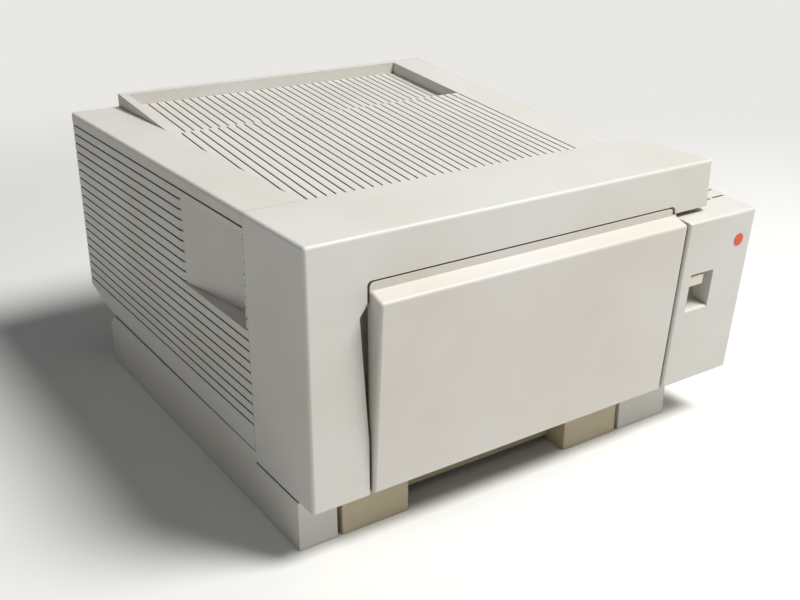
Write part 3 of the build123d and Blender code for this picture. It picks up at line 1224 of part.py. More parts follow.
def nodes():
    """Every piece of the printer, by name."""
    idlers = ("drum_idler", "fuser_idler", "registration_idler", "exit_idler")
    gears = {name + "_gear": idle_gear(name) for name in idlers}
    pieces = {
        "front_fascia": front_fascia(),
        "left_side_cover": left_side_cover(),
        "top_cover": top_cover(),
        "rear_cover": rear_cover(),
        "cover_screws": cover_screws(),
        "upper_frame": upper_frame(),
        "upper_hinge_pins": upper_hinge_pins(),
        "exit_guide": exit_guide(),
        "exit_roller": exit_roller(),
        "exit_pinch_rollers": exit_pinch_rollers(),
        "scanner_housing": scanner_housing(),
        "polygon_mirror": polygon_mirror(),
        "scan_lens": scan_lens(),
        "tray_door": tray_door(),
        "tray_plate": tray_plate(),
        "paper_guide_left": paper_guide(-1),
        "paper_guide_right": paper_guide(1),
        "door_hinge_pins": door_hinge_pins(),
        "right_housing": right_housing(),
        "indicator_lens": indicator_lens(),
        "status_windows": status_windows(),
        "release_latch": release_latch(),
        "base_housing": base_housing(),
        "chassis_pan": chassis_pan(),
        "rubber_feet": rubber_feet(),
        "lift_plate": lift_plate(),
        "side_frame_left": side_frame_left(),
        "side_frame_right": side_frame_right(),
        "roller_bushes": roller_bushes(),
        "frame_stays": frame_stays(),
        "paper_turn_guide": paper_turn_guide(),
        "transport_guide": transport_guide(),
        "separation_pad": separation_pad(),
        "pickup_roller": pickup_roller(),
        "pickup_shaft": pickup_shaft(),
        "registration_roller": registration_roller(),
        "transfer_roller": transfer_roller(),
        "photosensitive_drum": photosensitive_drum(),
        "hot_roller": hot_roller(),
        "hot_roller_gear": train_gear("fuser", HOT_JOURNAL_RADIUS),
        "pressure_roller": pressure_roller(),
        "fuser_lamp": fuser_lamp(),
        "fuser_frame": fuser_frame(),
        "cartridge_body": cartridge_body(),
        "toner_hopper": toner_hopper(),
        "developer_roller": developer_roller(),
        "main_motor": main_motor(),
        "motor_pinion": motor_pinion(),
        "main_gear": idle_gear("main"),
        "power_supply_board": power_supply_board(),
        "controller_board": controller_board(),
        "power_inlet": power_inlet(),
        "power_rocker": power_rocker(),
        "port_connectors": port_connectors(),
        "fan_frame": fan_frame(),
        "fan_rotor": fan_rotor(),
    }
    return pieces | gears


def write(name, piece):
    """Move a piece from the datum planes to the origin and write its file."""
    middle_y = (DOOR_CREST[0] + DEPTH) / 2
    shift = Pos(-TOTAL_WIDTH / 2, -middle_y, 0)
    solids = piece if isinstance(piece, list) else [piece]
    solids = [shift * solid for group in solids for solid in group.solids()]
    export_step(Compound(children=solids), os.path.join("parts", name + ".step"))


def main():
    os.makedirs("parts", exist_ok=True)
    for name, piece in nodes().items():
        write(name, piece)


main()
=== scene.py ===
"""Looks of a desktop laser printer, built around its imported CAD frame.

Lengths whose names end in mm are millimetres, all others are metres. X runs to the right
seen from the front, Y from the front to the rear, and Z up from the surface that the
printer stands on.
"""

import json
import logging
import math
from dataclasses import dataclass
from enum import Enum
from typing import Any

import bpy
from mathutils import Matrix, Vector


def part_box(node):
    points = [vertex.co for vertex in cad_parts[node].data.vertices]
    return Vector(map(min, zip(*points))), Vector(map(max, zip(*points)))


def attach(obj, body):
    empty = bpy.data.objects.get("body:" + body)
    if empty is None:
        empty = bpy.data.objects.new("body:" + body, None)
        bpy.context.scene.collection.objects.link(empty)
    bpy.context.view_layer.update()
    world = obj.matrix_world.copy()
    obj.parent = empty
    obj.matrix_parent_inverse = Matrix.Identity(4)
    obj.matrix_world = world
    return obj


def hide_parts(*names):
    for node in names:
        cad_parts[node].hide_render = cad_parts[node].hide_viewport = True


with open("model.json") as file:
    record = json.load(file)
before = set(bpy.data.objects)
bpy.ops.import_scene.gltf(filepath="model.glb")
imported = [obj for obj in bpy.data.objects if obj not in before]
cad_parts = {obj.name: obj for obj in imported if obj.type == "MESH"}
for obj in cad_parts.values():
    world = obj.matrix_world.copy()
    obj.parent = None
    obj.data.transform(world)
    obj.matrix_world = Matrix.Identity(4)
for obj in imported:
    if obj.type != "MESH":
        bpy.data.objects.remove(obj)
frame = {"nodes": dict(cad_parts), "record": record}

LOG = logging.getLogger("printer")
MM = 0.001

Tree = bpy.types.NodeTree
Node = bpy.types.Node
Piece = bpy.types.Object
Place = tuple[float, float, float]


class Slot(Enum):
    """The record's material slots."""

    CASE = "case_plastic"
    DOOR = "door_plastic"
    AGED = "aged_plastic"
    CREAM = "cream_plastic"
    GREY = "grey_plastic"
    BLACK = "black_plastic"
    WINDOW = "window_plastic"
    RED = "red_plastic"
    GEAR = "gear_plastic"
    ZINC = "zinc_steel"
    BRIGHT = "bright_steel"
    MOTOR = "motor_steel"
    FOOT = "foot_rubber"
    ROLLER = "roller_rubber"
    SILICONE = "silicone_rubber"
    FOAM = "foam_rubber"
    CORK = "cork_rubber"
    DRUM = "drum_coating"
    NONSTICK = "nonstick_coating"
    QUARTZ = "quartz_glass"
    LENS = "lens_glass"
    MIRROR = "mirror_face"
    BOARD = "board_laminate"


def linear(hex_colour: str) -> tuple[float, float, float, float]:
    """Turns an sRGB hex colour into the linear colour that a node takes.

    Args:
        hex_colour: Six hex digits after a hash.

    Returns:
        Linear red, green and blue, and an alpha of 1.
    """
    parts = [int(hex_colour[i : i + 2], 16) / 255 for i in (1, 3, 5)]
    red, green, blue = (c / 12.92 if c <= 0.04045 else ((c + 0.055) / 1.055) ** 2.4 for c in parts)
    return red, green, blue, 1.0


def add_node(tree: Tree, kind: str, inputs: dict[Any, Any] | None = None, **settings: Any) -> Node:
    """Adds a node with its settings, values and links.

    Args:
        tree: The node tree of a material or of the world.
        kind: The node's type, without "ShaderNode".
        inputs: For each input, by name or number, a value, an output, or a node whose
            first output is taken.
        settings: The node's own properties.

    Returns:
        The new node.
    """
    node = tree.nodes.new("ShaderNode" + kind)
    for name, value in settings.items():
        setattr(node, name, value)
    for name, value in (inputs or {}).items():
        named = (s for s in node.inputs if s.enabled and s.name == name)
        socket = node.inputs[name] if isinstance(name, int) else next(named)
        if isinstance(value, bpy.types.Node):
            value = next(s for s in value.outputs if s.enabled)
        if isinstance(value, bpy.types.NodeSocket):
            tree.links.new(value, socket)
        else:
            socket.default_value = value
    return node


def per_mm(size_mm: float) -> float:
    """Scale at which one feature of a pattern is about this many millimetres wide."""
    return 1.0 / (size_mm * MM)


@dataclass(frozen=True)
class Finish:
    """The finish of one of the printer's materials, drawn by nodes on Object coordinates."""

    name: str

    def draw(self, tree: Tree, place: Node) -> dict[str, Any]:
        """Adds the nodes of this finish.

        Args:
            tree: The material's tree.
            place: Node whose first output is the object coordinates.

        Returns:
            Values and links for the surface shader.
        """
        raise NotImplementedError

    def build(self) -> bpy.types.Material:
        """Makes the material.

        Returns:
            The material, with its shader and output.
        """
        material = bpy.data.materials.new(self.name)
        material.use_nodes = True
        tree = material.node_tree
        tree.nodes.clear()
        coordinates = add_node(tree, "TexCoord").outputs["Object"]
        place = add_node(tree, "Mapping", {"Vector": coordinates})
        surface = add_node(tree, "BsdfPrincipled", self.draw(tree, place))
        add_node(tree, "OutputMaterial", {"Surface": surface})
        return material


@dataclass(frozen=True)
class MouldedAbs(Finish):
    """ABS from a spark-eroded mould.

    The mould's grain breaks the gloss up, so the eye sees a soft broad sheen. Daylight has
    yellowed it in wide patches, hands have polished it here and there, and dust sits in freckles.
    Grooves and joints, where the surface is hemmed in, are painted darker as shade and grime.
    The grain is really 0.1 mm wide, and is drawn coarser so that it shows.
    """

    colour: str = "#CECCC6"
    aged: str = "#CAC6BD"
    roughness: float = 0.48
    grain_mm: float = 0.55
    grain_depth_mm: float = 0.03
    dust: str = "#A39C8C"
    dustiness: float = 0.35
    groove_mm: float = 4.0
    grime_and_shade: str = "#4E483D"
    patch_mm: float = 90.0
    freckle_mm: float = 1.6
    touch_mm: float = 34.0

    def draw(self, tree: Tree, place: Node) -> dict[str, Any]:
        """Adds patches of age and dust, painted shade with grime in grooves, handling and grain.

        Args:
            tree: The material's tree.
            place: The object coordinates.

        Returns:
            Inputs of the surface shader.
        """
        wide = {"Vector": place, "Scale": per_mm(self.patch_mm), "Detail": 3.0}
        patches = add_node(tree, "TexNoise", wide)
        age = add_node(tree, "MapRange", {"Value": patches, "From Min": 0.38, "From Max": 0.66})
        shades = {"Factor": age, "A": linear(self.colour), "B": linear(self.aged)}
        plastic = add_node(tree, "Mix", shades, data_type="RGBA")
        fine = {"Vector": place, "Scale": per_mm(self.freckle_mm)}
        specks = add_node(tree, "TexNoise", fine | {"Detail": 4.0, "Roughness": 0.65})
        limits = {"Value": specks, "From Min": 0.66, "From Max": 0.78, "To Max": self.dustiness}
        settled = add_node(tree, "MapRange", limits)
        layers = {"Factor": settled, "A": plastic, "B": linear(self.dust)}
        dusty = add_node(tree, "Mix", layers, data_type="RGBA")
        handled = {"Vector": place, "Scale": per_mm(self.touch_mm), "Detail": 2.0}
        touch = add_node(tree, "TexNoise", handled)
        dull = {"Value": touch, "From Min": 0.3, "From Max": 0.7}
        dull |= {"To Min": self.roughness - 0.06, "To Max": self.roughness + 0.06}
        # Painted shade with some grime: ambient occlusion darkens grooves, gaps and joints.
        open_sky = add_node(tree, "AmbientOcclusion", {"Distance": self.groove_mm * MM}, samples=8)
        grooves = {"Value": open_sky.outputs["AO"], "From Min": 0.2, "From Max": 0.62}
        unshaded_and_clean = add_node(tree, "MapRange", grooves)
        # This mix paints that shade and grime into the colour; it is not wear.
        worn = {"Factor": unshaded_and_clean, "A": linear(self.grime_and_shade), "B": dusty}
        tone = add_node(tree, "Mix", worn, data_type="RGBA")
        eroded = {"Vector": place, "Scale": per_mm(self.grain_mm), "Detail": 2.0}
        grain = add_node(tree, "TexNoise", eroded)
        relief = add_node(tree, "Bump", {"Height": grain, "Distance": self.grain_depth_mm * MM})
        rough = add_node(tree, "MapRange", dull)
        return {"Base Color": tone, "Roughness": rough, "IOR": 1.53, "Normal": relief}


@dataclass(frozen=True)
class PolishedPlastic(Finish):
    """Acrylic from a polished mould: clean deep colour and a sharp highlight."""

    colour: str
    deep: str
    roughness: float = 0.2
    flow_mm: float = 4.0

    def draw(self, tree: Tree, place: Node) -> dict[str, Any]:
        """Adds a slight flow of the colour and of the gloss.

        Args:
            tree: The material's tree.
            place: The object coordinates.

        Returns:
            Inputs of the surface shader.
        """
        fluid = {"Vector": place, "Scale": per_mm(self.flow_mm), "Detail": 1.0}
        flow = add_node(tree, "TexNoise", fluid)
        shades = {"Factor": flow, "A": linear(self.colour), "B": linear(self.deep)}
        gloss = {"Value": flow, "To Min": self.roughness - 0.05, "To Max": self.roughness + 0.05}
        tone = add_node(tree, "Mix", shades, data_type="RGBA")
        return {"Base Color": tone, "Roughness": add_node(tree, "MapRange", gloss), "IOR": 1.49}


@dataclass(frozen=True)
class Acetal(Finish):
    """Natural acetal, moulded: waxy and faintly translucent, with smears of grease."""

    colour: str = "#E4E0D4"
    greased: str = "#C8C0AA"
    smear_mm: float = 9.0

    def draw(self, tree: Tree, place: Node) -> dict[str, Any]:
        """Adds smears that are darker and glossier than the dry plastic.

        Args:
            tree: The material's tree.
            place: The object coordinates.

        Returns:
            Inputs of the surface shader.
        """
        smeared = {"Vector": place, "Scale": per_mm(self.smear_mm), "Detail": 2.0}
        smears = add_node(tree, "TexNoise", smeared)
        grease = add_node(tree, "MapRange", {"Value": smears, "From Min": 0.45, "From Max": 0.7})
        shades = {"Factor": grease, "A": linear(self.colour), "B": linear(self.greased)}
        gloss = add_node(tree, "MapRange", {"Value": grease, "To Min": 0.4, "To Max": 0.26})
        tone = add_node(tree, "Mix", shades, data_type="RGBA")
        inputs = {"Base Color": tone, "Roughness": gloss, "IOR": 1.48}
        return inputs | {"Subsurface Weight": 0.12, "Subsurface Radius": (0.002, 0.002, 0.0015)}


@dataclass(frozen=True)
class ZincSheet(Finish):
    """Zinc-plated sheet steel, stamped: dull silver crystals and faint rolling lines."""

    colour: str = "#B6BABD"
    dark: str = "#94999D"
    crystal_mm: float = 4.0
    line_mm: float = 1.0
    line_depth_mm: float = 0.006

    def draw(self, tree: Tree, place: Node) -> dict[str, Any]:
        """Adds crystals of the plating over lines of the rolled sheet.

        Args:
            tree: The material's tree.
            place: The object coordinates.

        Returns:
            Inputs of the surface shader.
        """
        cells = add_node(tree, "TexVoronoi", {"Vector": place, "Scale": per_mm(self.crystal_mm)})
        shade = add_node(tree, "SeparateColor", {"Color": cells.outputs["Color"]})
        shades = {"Factor": shade, "A": linear(self.colour), "B": linear(self.dark)}
        rolled = add_node(tree, "Mapping", {"Vector": place, "Scale": (1.0, 0.03, 1.0)})
        lines = add_node(tree, "TexNoise", {"Vector": rolled, "Scale": per_mm(self.line_mm)})
        relief = add_node(tree, "Bump", {"Height": lines, "Distance": self.line_depth_mm * MM})
        rough = add_node(tree, "MapRange", {"Value": shade, "To Min": 0.32, "To Max": 0.46})
        tone = add_node(tree, "Mix", shades, data_type="RGBA")
        return {"Base Color": tone, "Metallic": 1.0, "Roughness": rough, "Normal": relief}


@dataclass(frozen=True)
class GroundSteel(Finish):
    """Ground bar steel: bright, with fine rings left by the grinding wheel."""

    colour: str = "#C7C9CC"
    ringed: str = "#A6A9AD"
    ring_mm: float = 0.6
    ring_depth_mm: float = 0.004

    def draw(self, tree: Tree, place: Node) -> dict[str, Any]:
        """Adds the rings, which run round each shaft.

        Args:
            tree: The material's tree.
            place: The object coordinates.

        Returns:
            Inputs of the surface shader.
        """
        along = add_node(tree, "Mapping", {"Vector": place, "Scale": (1.0, 0.05, 0.05)})
        rings = add_node(tree, "TexNoise", {"Vector": along, "Scale": per_mm(self.ring_mm)})
        shades = {"Factor": rings, "A": linear(self.colour), "B": linear(self.ringed)}
        relief = add_node(tree, "Bump", {"Height": rings, "Distance": self.ring_depth_mm * MM})
        rough = add_node(tree, "MapRange", {"Value": rings, "To Min": 0.18, "To Max": 0.3})
        tone = add_node(tree, "Mix", shades, data_type="RGBA")
        return {"Base Color": tone, "Metallic": 1.0, "Roughness": rough, "Normal": relief}


@dataclass(frozen=True)
class StovedEnamel(Finish):
    """Stoved enamel on pressed steel: smooth, with a slight orange peel under its gloss."""

    colour: str = "#4A4D52"
    thin: str = "#3C3F43"
    spot_mm: float = 12.0
    peel_mm: float = 2.5
    peel_depth_mm: float = 0.03

    def draw(self, tree: Tree, place: Node) -> dict[str, Any]:
        """Adds the orange peel and thinner spots.

        Args:
            tree: The material's tree.
            place: The object coordinates.

        Returns:
            Inputs of the surface shader.
        """
        spots = add_node(tree, "TexNoise", {"Vector": place, "Scale": per_mm(self.spot_mm)})
        shades = {"Factor": spots, "A": linear(self.colour), "B": linear(self.thin)}
        peeled = {"Vector": place, "Scale": per_mm(self.peel_mm), "Detail": 1.0}
        peel = add_node(tree, "TexNoise", peeled)
        relief = add_node(tree, "Bump", {"Height": peel, "Distance": self.peel_depth_mm * MM})
        rough = add_node(tree, "MapRange", {"Value": spots, "To Min": 0.32, "To Max": 0.42})
        tone = add_node(tree, "Mix", shades, data_type="RGBA")
        return {"Base Color": tone, "Roughness": rough, "Coat Weight": 0.25, "Normal": relief}


@dataclass(frozen=True)
class Rubber(Finish):
    """Rubber with a ground, moulded or foamed skin: dull and pitted, paler where it wears."""

    colour: str
    worn: str
    roughness: float = 0.72
    pit_mm: float = 0.6
    pit_depth_mm: float = 0.06
    wear_mm: float = 14.0

    def draw(self, tree: Tree, place: Node) -> dict[str, Any]:
        """Adds worn patches and pits.

        Args:
            tree: The material's tree.
            place: The object coordinates.

        Returns:
            Inputs of the surface shader.
        """
        rubbed = {"Vector": place, "Scale": per_mm(self.wear_mm), "Detail": 3.0}
        wear = add_node(tree, "TexNoise", rubbed)
        shades = {"Factor": wear, "A": linear(self.colour), "B": linear(self.worn)}
        pitted = {"Vector": place, "Scale": per_mm(self.pit_mm), "Roughness": 0.7}
        pits = add_node(tree, "TexNoise", pitted)
        relief = add_node(tree, "Bump", {"Height": pits, "Distance": self.pit_depth_mm * MM})
        limits = {"Value": pits, "To Min": self.roughness - 0.05, "To Max": self.roughness + 0.05}
        rough = add_node(tree, "MapRange", limits)
        tone = add_node(tree, "Mix", shades, data_type="RGBA")
        return {"Base Color": tone, "Roughness": rough, "IOR": 1.52, "Normal": relief}


@dataclass(frozen=True)
class SpeckledCork(Finish):
    """Cork granules bound in rubber: brown flecks of a millimetre or two."""

    pale: str = "#8A6240"
    dark: str = "#4B3522"
    granule_mm: float = 1.6
    granule_depth_mm: float = 0.08

    def draw(self, tree: Tree, place: Node) -> dict[str, Any]:
        """Adds the granules, each of its own brown and its own height.

        Args:
            tree: The material's tree.
            place: The object coordinates.

        Returns:
            Inputs of the surface shader.
        """
        cells = add_node(tree, "TexVoronoi", {"Vector": place, "Scale": per_mm(self.granule_mm)})
        shade = add_node(tree, "SeparateColor", {"Color": cells.outputs["Color"]})
        shades = {"Factor": shade, "A": linear(self.pale), "B": linear(self.dark)}
        relief = add_node(tree, "Bump", {"Height": shade, "Distance": self.granule_depth_mm * MM})
        rough = add_node(tree, "MapRange", {"Value": shade, "To Min": 0.8, "To Max": 0.92})
        tone = add_node(tree, "Mix", shades, data_type="RGBA")
        return {"Base Color": tone, "Roughness": rough, "Normal": relief}


@dataclass(frozen=True)
class RollerCoat(Finish):
    """A thin coat on a metal tube: an even colour with faint rings, under a clear skin."""

    colour: str
    ringed: str
    roughness: float
    metallic: float = 0.0
    skin: float = 0.0
    ring_mm: float = 3.0

    def draw(self, tree: Tree, place: Node) -> dict[str, Any]:
        """Adds the rings.

        Args:
            tree: The material's tree.
            place: The object coordinates.

        Returns:
            Inputs of the surface shader.
        """
        along = add_node(tree, "Mapping", {"Vector": place, "Scale": (1.0, 0.06, 0.06)})
        rings = add_node(tree, "TexNoise", {"Vector": along, "Scale": per_mm(self.ring_mm)})
        shades = {"Factor": rings, "A": linear(self.colour), "B": linear(self.ringed)}
        limits = {"Value": rings, "To Min": self.roughness - 0.03, "To Max": self.roughness + 0.05}
        rough = add_node(tree, "MapRange", limits)
        tone = add_node(tree, "Mix", shades, data_type="RGBA")
        inputs = {"Base Color": tone, "Roughness": rough, "Metallic": self.metallic}
        return inputs | {"Coat Weight": self.skin, "Coat Roughness": 0.05}


@dataclass(frozen=True)
class ClearGlass(Finish):
    """Optical glass or fused quartz, polished: clear, with a faint tint and a thin haze."""

    tint: str
    ior: float = 1.52
    haze_mm: float = 7.0

    def draw(self, tree: Tree, place: Node) -> dict[str, Any]:
        """Adds the haze.

        Args:
            tree: The material's tree.
            place: The object coordinates.

        Returns:
            Inputs of the surface shader.
        """
        haze = add_node(tree, "TexNoise", {"Vector": place, "Scale": per_mm(self.haze_mm)})
        rough = add_node(tree, "MapRange", {"Value": haze, "To Min": 0.01, "To Max": 0.06})
        inputs = {"Base Color": linear(self.tint), "Roughness": rough, "IOR": self.ior}
        return inputs | {"Transmission Weight": 1.0}


@dataclass(frozen=True)
class CutMirror(Finish):
    """Diamond-turned aluminium: a mirror with the faintest arcs of the tool."""

    colour: str = "#E4E6E8"
    arc: str = "#D3D6D9"
    arc_mm: float = 0.5

    def draw(self, tree: Tree, place: Node) -> dict[str, Any]:
        """Adds the arcs.

        Args:
            tree: The material's tree.
            place: The object coordinates.

        Returns:
            Inputs of the surface shader.
        """
        along = add_node(tree, "Mapping", {"Vector": place, "Scale": (0.2, 0.2, 1.0)})
        turned = {"Vector": along, "Scale": per_mm(self.arc_mm), "Detail": 1.0}
        arcs = add_node(tree, "TexNoise", turned)
        shades = {"Factor": arcs, "A": linear(self.colour), "B": linear(self.arc)}
        rough = add_node(tree, "MapRange", {"Value": arcs, "To Min": 0.04, "To Max": 0.1})
        tone = add_node(tree, "Mix", shades, data_type="RGBA")
        return {"Base Color": tone, "Metallic": 1.0, "Roughness": rough}


@dataclass(frozen=True)
class CircuitBoard(Finish):
    """Solder mask over glass cloth with copper tracks under it, and dark parts on it."""

    mask: str = "#14572F"
    track: str = "#2A8048"
    part: str = "#1B1B1D"
    printed: str = "#3A3937"
    top_mm: float = 17.7
    blend_mm: float = 0.1
    brick_mm: float = 9.0
    spot_mm: float = 5.0
    track_depth_mm: float = 0.03

    def draw(self, tree: Tree, place: Node) -> dict[str, Any]:
        """Adds tracks below the board's top and the dark parts above it.

        Args:
            tree: The material's tree.
            place: The object coordinates.

        Returns:
            Inputs of the surface shader.
        """
        grid = {"Vector": place, "Scale": per_mm(self.brick_mm)}
        grid |= {"Mortar Size": 0.06, "Mortar Smooth": 0.2}
        tracks = add_node(tree, "TexBrick", grid).outputs["Fac"]
        green = {"Factor": tracks, "A": linear(self.mask), "B": linear(self.track)}
        height = add_node(tree, "SeparateXYZ", {"Vector": place}).outputs["Z"]
        top, over = self.top_mm * MM, (self.top_mm + self.blend_mm) * MM
        edge = {"Value": height, "From Min": top, "From Max": over}
        above = add_node(tree, "MapRange", edge)
        spots = add_node(tree, "TexNoise", {"Vector": place, "Scale": per_mm(self.spot_mm)})
        cases = {"Factor": spots, "A": linear(self.part), "B": linear(self.printed)}
        board = add_node(tree, "Mix", green, data_type="RGBA")
        parts = add_node(tree, "Mix", cases, data_type="RGBA")
        tone = add_node(tree, "Mix", {"Factor": above, "A": board, "B": parts}, data_type="RGBA")
        rough = add_node(tree, "MapRange", {"Value": above, "To Min": 0.3, "To Max": 0.5})
        relief = add_node(tree, "Bump", {"Height": tracks, "Distance": self.track_depth_mm * MM})
        return {"Base Color": tone, "Roughness": rough, "Normal": relief}


FINISHES: dict[Slot, Finish] = {
    Slot.CASE: MouldedAbs("abs_platinum"),
    Slot.DOOR: MouldedAbs("abs_platinum_warm", "#CECAC3", "#CAC4B9"),
    Slot.AGED: MouldedAbs("abs_yellowed", "#BFB498", "#B3A684", dustiness=0.5),
    Slot.CREAM: MouldedAbs("abs_cream", "#D8D1C0", "#D3C9B2", 0.4, dustiness=0.1),
    Slot.GREY: MouldedAbs("abs_grey", "#7A7B7B", "#74736F", dustiness=0.2),
    Slot.BLACK: MouldedAbs("abs_black", "#262628", "#2D2D2D", 0.42, dustiness=0.12),
    Slot.WINDOW: PolishedPlastic("acrylic_smoked", "#3C3B3A", "#2A2A2B"),
    Slot.RED: PolishedPlastic("acrylic_orange_red", "#D9502F", "#C23E22", 0.32),
    Slot.GEAR: Acetal("acetal_natural"),
    Slot.ZINC: ZincSheet("steel_zinc_plated"),
    Slot.BRIGHT: GroundSteel("steel_ground"),
    Slot.MOTOR: StovedEnamel("enamel_on_steel"),
    Slot.FOOT: Rubber("rubber_moulded", "#2A2A2A", "#383735"),
    Slot.ROLLER: Rubber("rubber_ground", "#3A3A3B", "#4A4947", 0.62),
    Slot.SILICONE: Rubber("silicone_rubber", "#B5674F", "#C27C64", 0.48),
    Slot.FOAM: Rubber("foam_open_cell", "#242424", "#2F2F2F", 0.9, 0.9, 0.3),
    Slot.CORK: SpeckledCork("cork_in_rubber"),
    Slot.DRUM: RollerCoat("photoconductor_on_aluminium", "#1E7F86", "#2C9A94", 0.16, 0.35, 0.8),
    Slot.NONSTICK: RollerCoat("fluoropolymer_on_aluminium", "#2C2C2F", "#3B3A3C", 0.34),
    Slot.QUARTZ: ClearGlass("quartz_fused", "#F2F4F5", 1.46),
    Slot.LENS: ClearGlass("glass_optical", "#E8F1F2"),
    Slot.MIRROR: CutMirror("aluminium_diamond_turned"),
    Slot.BOARD: CircuitBoard("solder_mask_on_laminate"),
}


class Wardrobe:
    """The finishes, and the slot and the body of each node of the frame."""

    def __init__(self) -> None:
        """Builds each finish once."""
        record = frame["record"]
        bodies = record["behaviour"]["bodies"]
        self.materials = {slot: FINISHES[slot].build() for slot in Slot}
        self.slots = {s["node"]: Slot(s["material_slot"]) for s in record["subparts"]}
        self.bodies = {node: body for body, nodes in bodies.items() for node in nodes}

    def dress(self, piece: Piece, slot: Slot) -> None:
        """Gives a new piece one finish.

        Args:
            piece: The new piece.
            slot: The slot that it takes its finish from.
        """
        piece.data.materials.clear()
        piece.data.materials.append(self.materials[slot])

    def stand_in(self, piece: Piece, node: str) -> Piece:
        """Dresses a piece as a node, and lets it move and stand for that node."""
        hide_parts(node)
        return self.add_to(piece, node)

    def add_to(self, piece: Piece, node: str, slot: Slot | None = None) -> Piece:
        """Dresses a piece that is fixed to a node, in the node's own finish or another.

        Args:
            piece: The new piece.
            node: The node that it is fixed to.
            slot: Another slot, where the piece isn't of the node's material.

        Returns:
            The piece.
        """
        self.dress(piece, slot or self.slots[node])
        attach(piece, self.bodies[node])
        return piece

    def dress_frame(self) -> None:
        """Gives each CAD node the finish of its own slot."""
        for name, node in frame["nodes"].items():
            finish = self.materials[self.slots[name]]
            if not node.material_slots:
                node.data.materials.append(finish)
            for material_slot in node.material_slots:
                material_slot.material = finish


class Bench:
    """Hand tools: a piece is selected alone, its faces are chosen, and operators shape it."""

    # A face points one way above the first, a cosine. Edges that bend less than FLAT go,
    # those that bend more than ROUNDED are bevelled, and below SHADED they are shaded smooth.
    FACING = 0.99
    FLAT = math.radians(1)
    ROUNDED = math.radians(32)
    SHADED = math.radians(40)
    MERGED_MM = 0.01

    @staticmethod
    def clear() -> None:
        """Leaves edit mode and deselects everything."""
        if bpy.context.object and bpy.context.object.mode != "OBJECT":
            bpy.ops.object.mode_set(mode="OBJECT")
        bpy.ops.object.select_all(action="DESELECT")

    @staticmethod
    def only(*pieces: Piece) -> None:
        """Selects some pieces alone and makes the first one active.

        Args:
            pieces: The pieces.
        """
        Bench.clear()
        for piece in pieces:
            piece.select_set(True)
        bpy.context.view_layer.objects.active = pieces[0]

    @staticmethod
    def settle(name: str) -> Piece:
        """Names the new primitive and puts its place, turn and size into its mesh.

        Args:
            name: The piece's name.

        Returns:
            The piece.
        """
        piece = bpy.context.object
        piece.name = name
        Bench.only(piece)
        bpy.ops.object.transform_apply(location=True, rotation=True, scale=True)
        return piece

    @staticmethod
    def block(name: str, low: Place, high: Place) -> Piece:
        """Starts a piece as a block.

        Args:
            name: The piece's name.
            low: Its lowest corner.
            high: Its highest corner.

        Returns:
            The block.
        """
        middle = [(a + b) / 2 for a, b in zip(low, high)]
        size = [b - a for a, b in zip(low, high)]
        Bench.clear()
        bpy.ops.mesh.primitive_cube_add(size=1.0, location=middle, scale=size)
        return Bench.settle(name)

    @staticmethod
    def bar(name: str, start: Place, end: Place, radius: float, sides: int = 24) -> Piece:
        """Starts a piece as a round bar between two points.

        Args:
            name: The piece's name.
            start: Middle of one end.
            end: Middle of the other end.
            radius: The bar's radius.
            sides: Faces round it.

        Returns:
            The bar.
        """
        line = Vector(end) - Vector(start)
        turn = line.to_track_quat("Z", "Y").to_euler()
        middle = (Vector(start) + Vector(end)) / 2
        Bench.clear()
        size = {"vertices": sides, "radius": radius, "depth": line.length}
        bpy.ops.mesh.primitive_cylinder_add(location=middle, rotation=turn, **size)
        return Bench.settle(name)

    @staticmethod
    def pick(piece: Piece, towards: Place) -> None:
        """Opens a piece and selects its faces that point one way.

        Args:
            piece: The piece, left in edit mode.
            towards: The direction.
        """
        Bench.only(piece)
        for part in (*piece.data.vertices, *piece.data.edges):
            part.select = False
        for face in piece.data.polygons:
            face.select = face.normal.dot(Vector(towards)) > Bench.FACING
        bpy.ops.object.mode_set(mode="EDIT")
        bpy.ops.mesh.select_mode(type="FACE")

    @staticmethod
    def apply(piece: Piece, kind: str, **settings: Any) -> None:
        """Adds a modifier with its settings and applies it.

        Args:
            piece: The piece.
            kind: The modifier's type.
            settings: The modifier's own properties.
        """
        Bench.only(piece)
        modifier = piece.modifiers.new(kind.lower(), kind)
        for name, value in settings.items():
            setattr(modifier, name, value)
        bpy.ops.object.modifier_apply(modifier=modifier.name)

    @staticmethod
    def round_edges(piece: Piece, width_mm: float, segments: int = 2) -> None:
        """Rounds every sharp edge, and keeps the flat faces flat.

        Args:
            piece: The piece.
            width_mm: Width of the rounding.
            segments: Faces across it.
        """
        limit = {"limit_method": "ANGLE", "angle_limit": Bench.ROUNDED}
        Bench.apply(piece, "BEVEL", width=width_mm * MM, segments=segments, **limit)
        Bench.smooth(piece)

    @staticmethod
    def smooth(piece: Piece) -> None:
        """Smooths the shading across shallow edges, with the flat faces kept flat.

        Args:
            piece: The piece.
        """
        Bench.only(piece)
        bpy.ops.object.shade_smooth_by_angle(angle=Bench.SHADED)
        Bench.apply(piece, "WEIGHTED_NORMAL", keep_sharp=True)

    @staticmethod
    def cut(piece: Piece, tool: Piece, kind: str = "DIFFERENCE") -> None:
        """Cuts one piece with the shape of another and throws that tool away."""
        Bench.apply(piece, "BOOLEAN", object=tool, operation=kind, solver="EXACT")
        bpy.data.objects.remove(tool)

    @staticmethod
    def repeat(piece: Piece, places: list[Matrix], name: str) -> Piece:
        """Copies a finished piece to several places and joins the copies.

        Args:
            piece: The piece, which is used up.
            places: Where each copy goes, from where the piece is.
            name: Name of the joined piece.

        Returns:
            The joined piece.
        """
        copies = []
        for place in places:
            copy = bpy.data.objects.new(name, piece.data.copy())
            copy.data.transform(place)
            bpy.context.scene.collection.objects.link(copy)
            copies.append(copy)
        bpy.data.objects.remove(piece)
        Bench.only(*copies)
        if len(copies) > 1:
            bpy.ops.object.join()
        copies[0].name = name
        return copies[0]

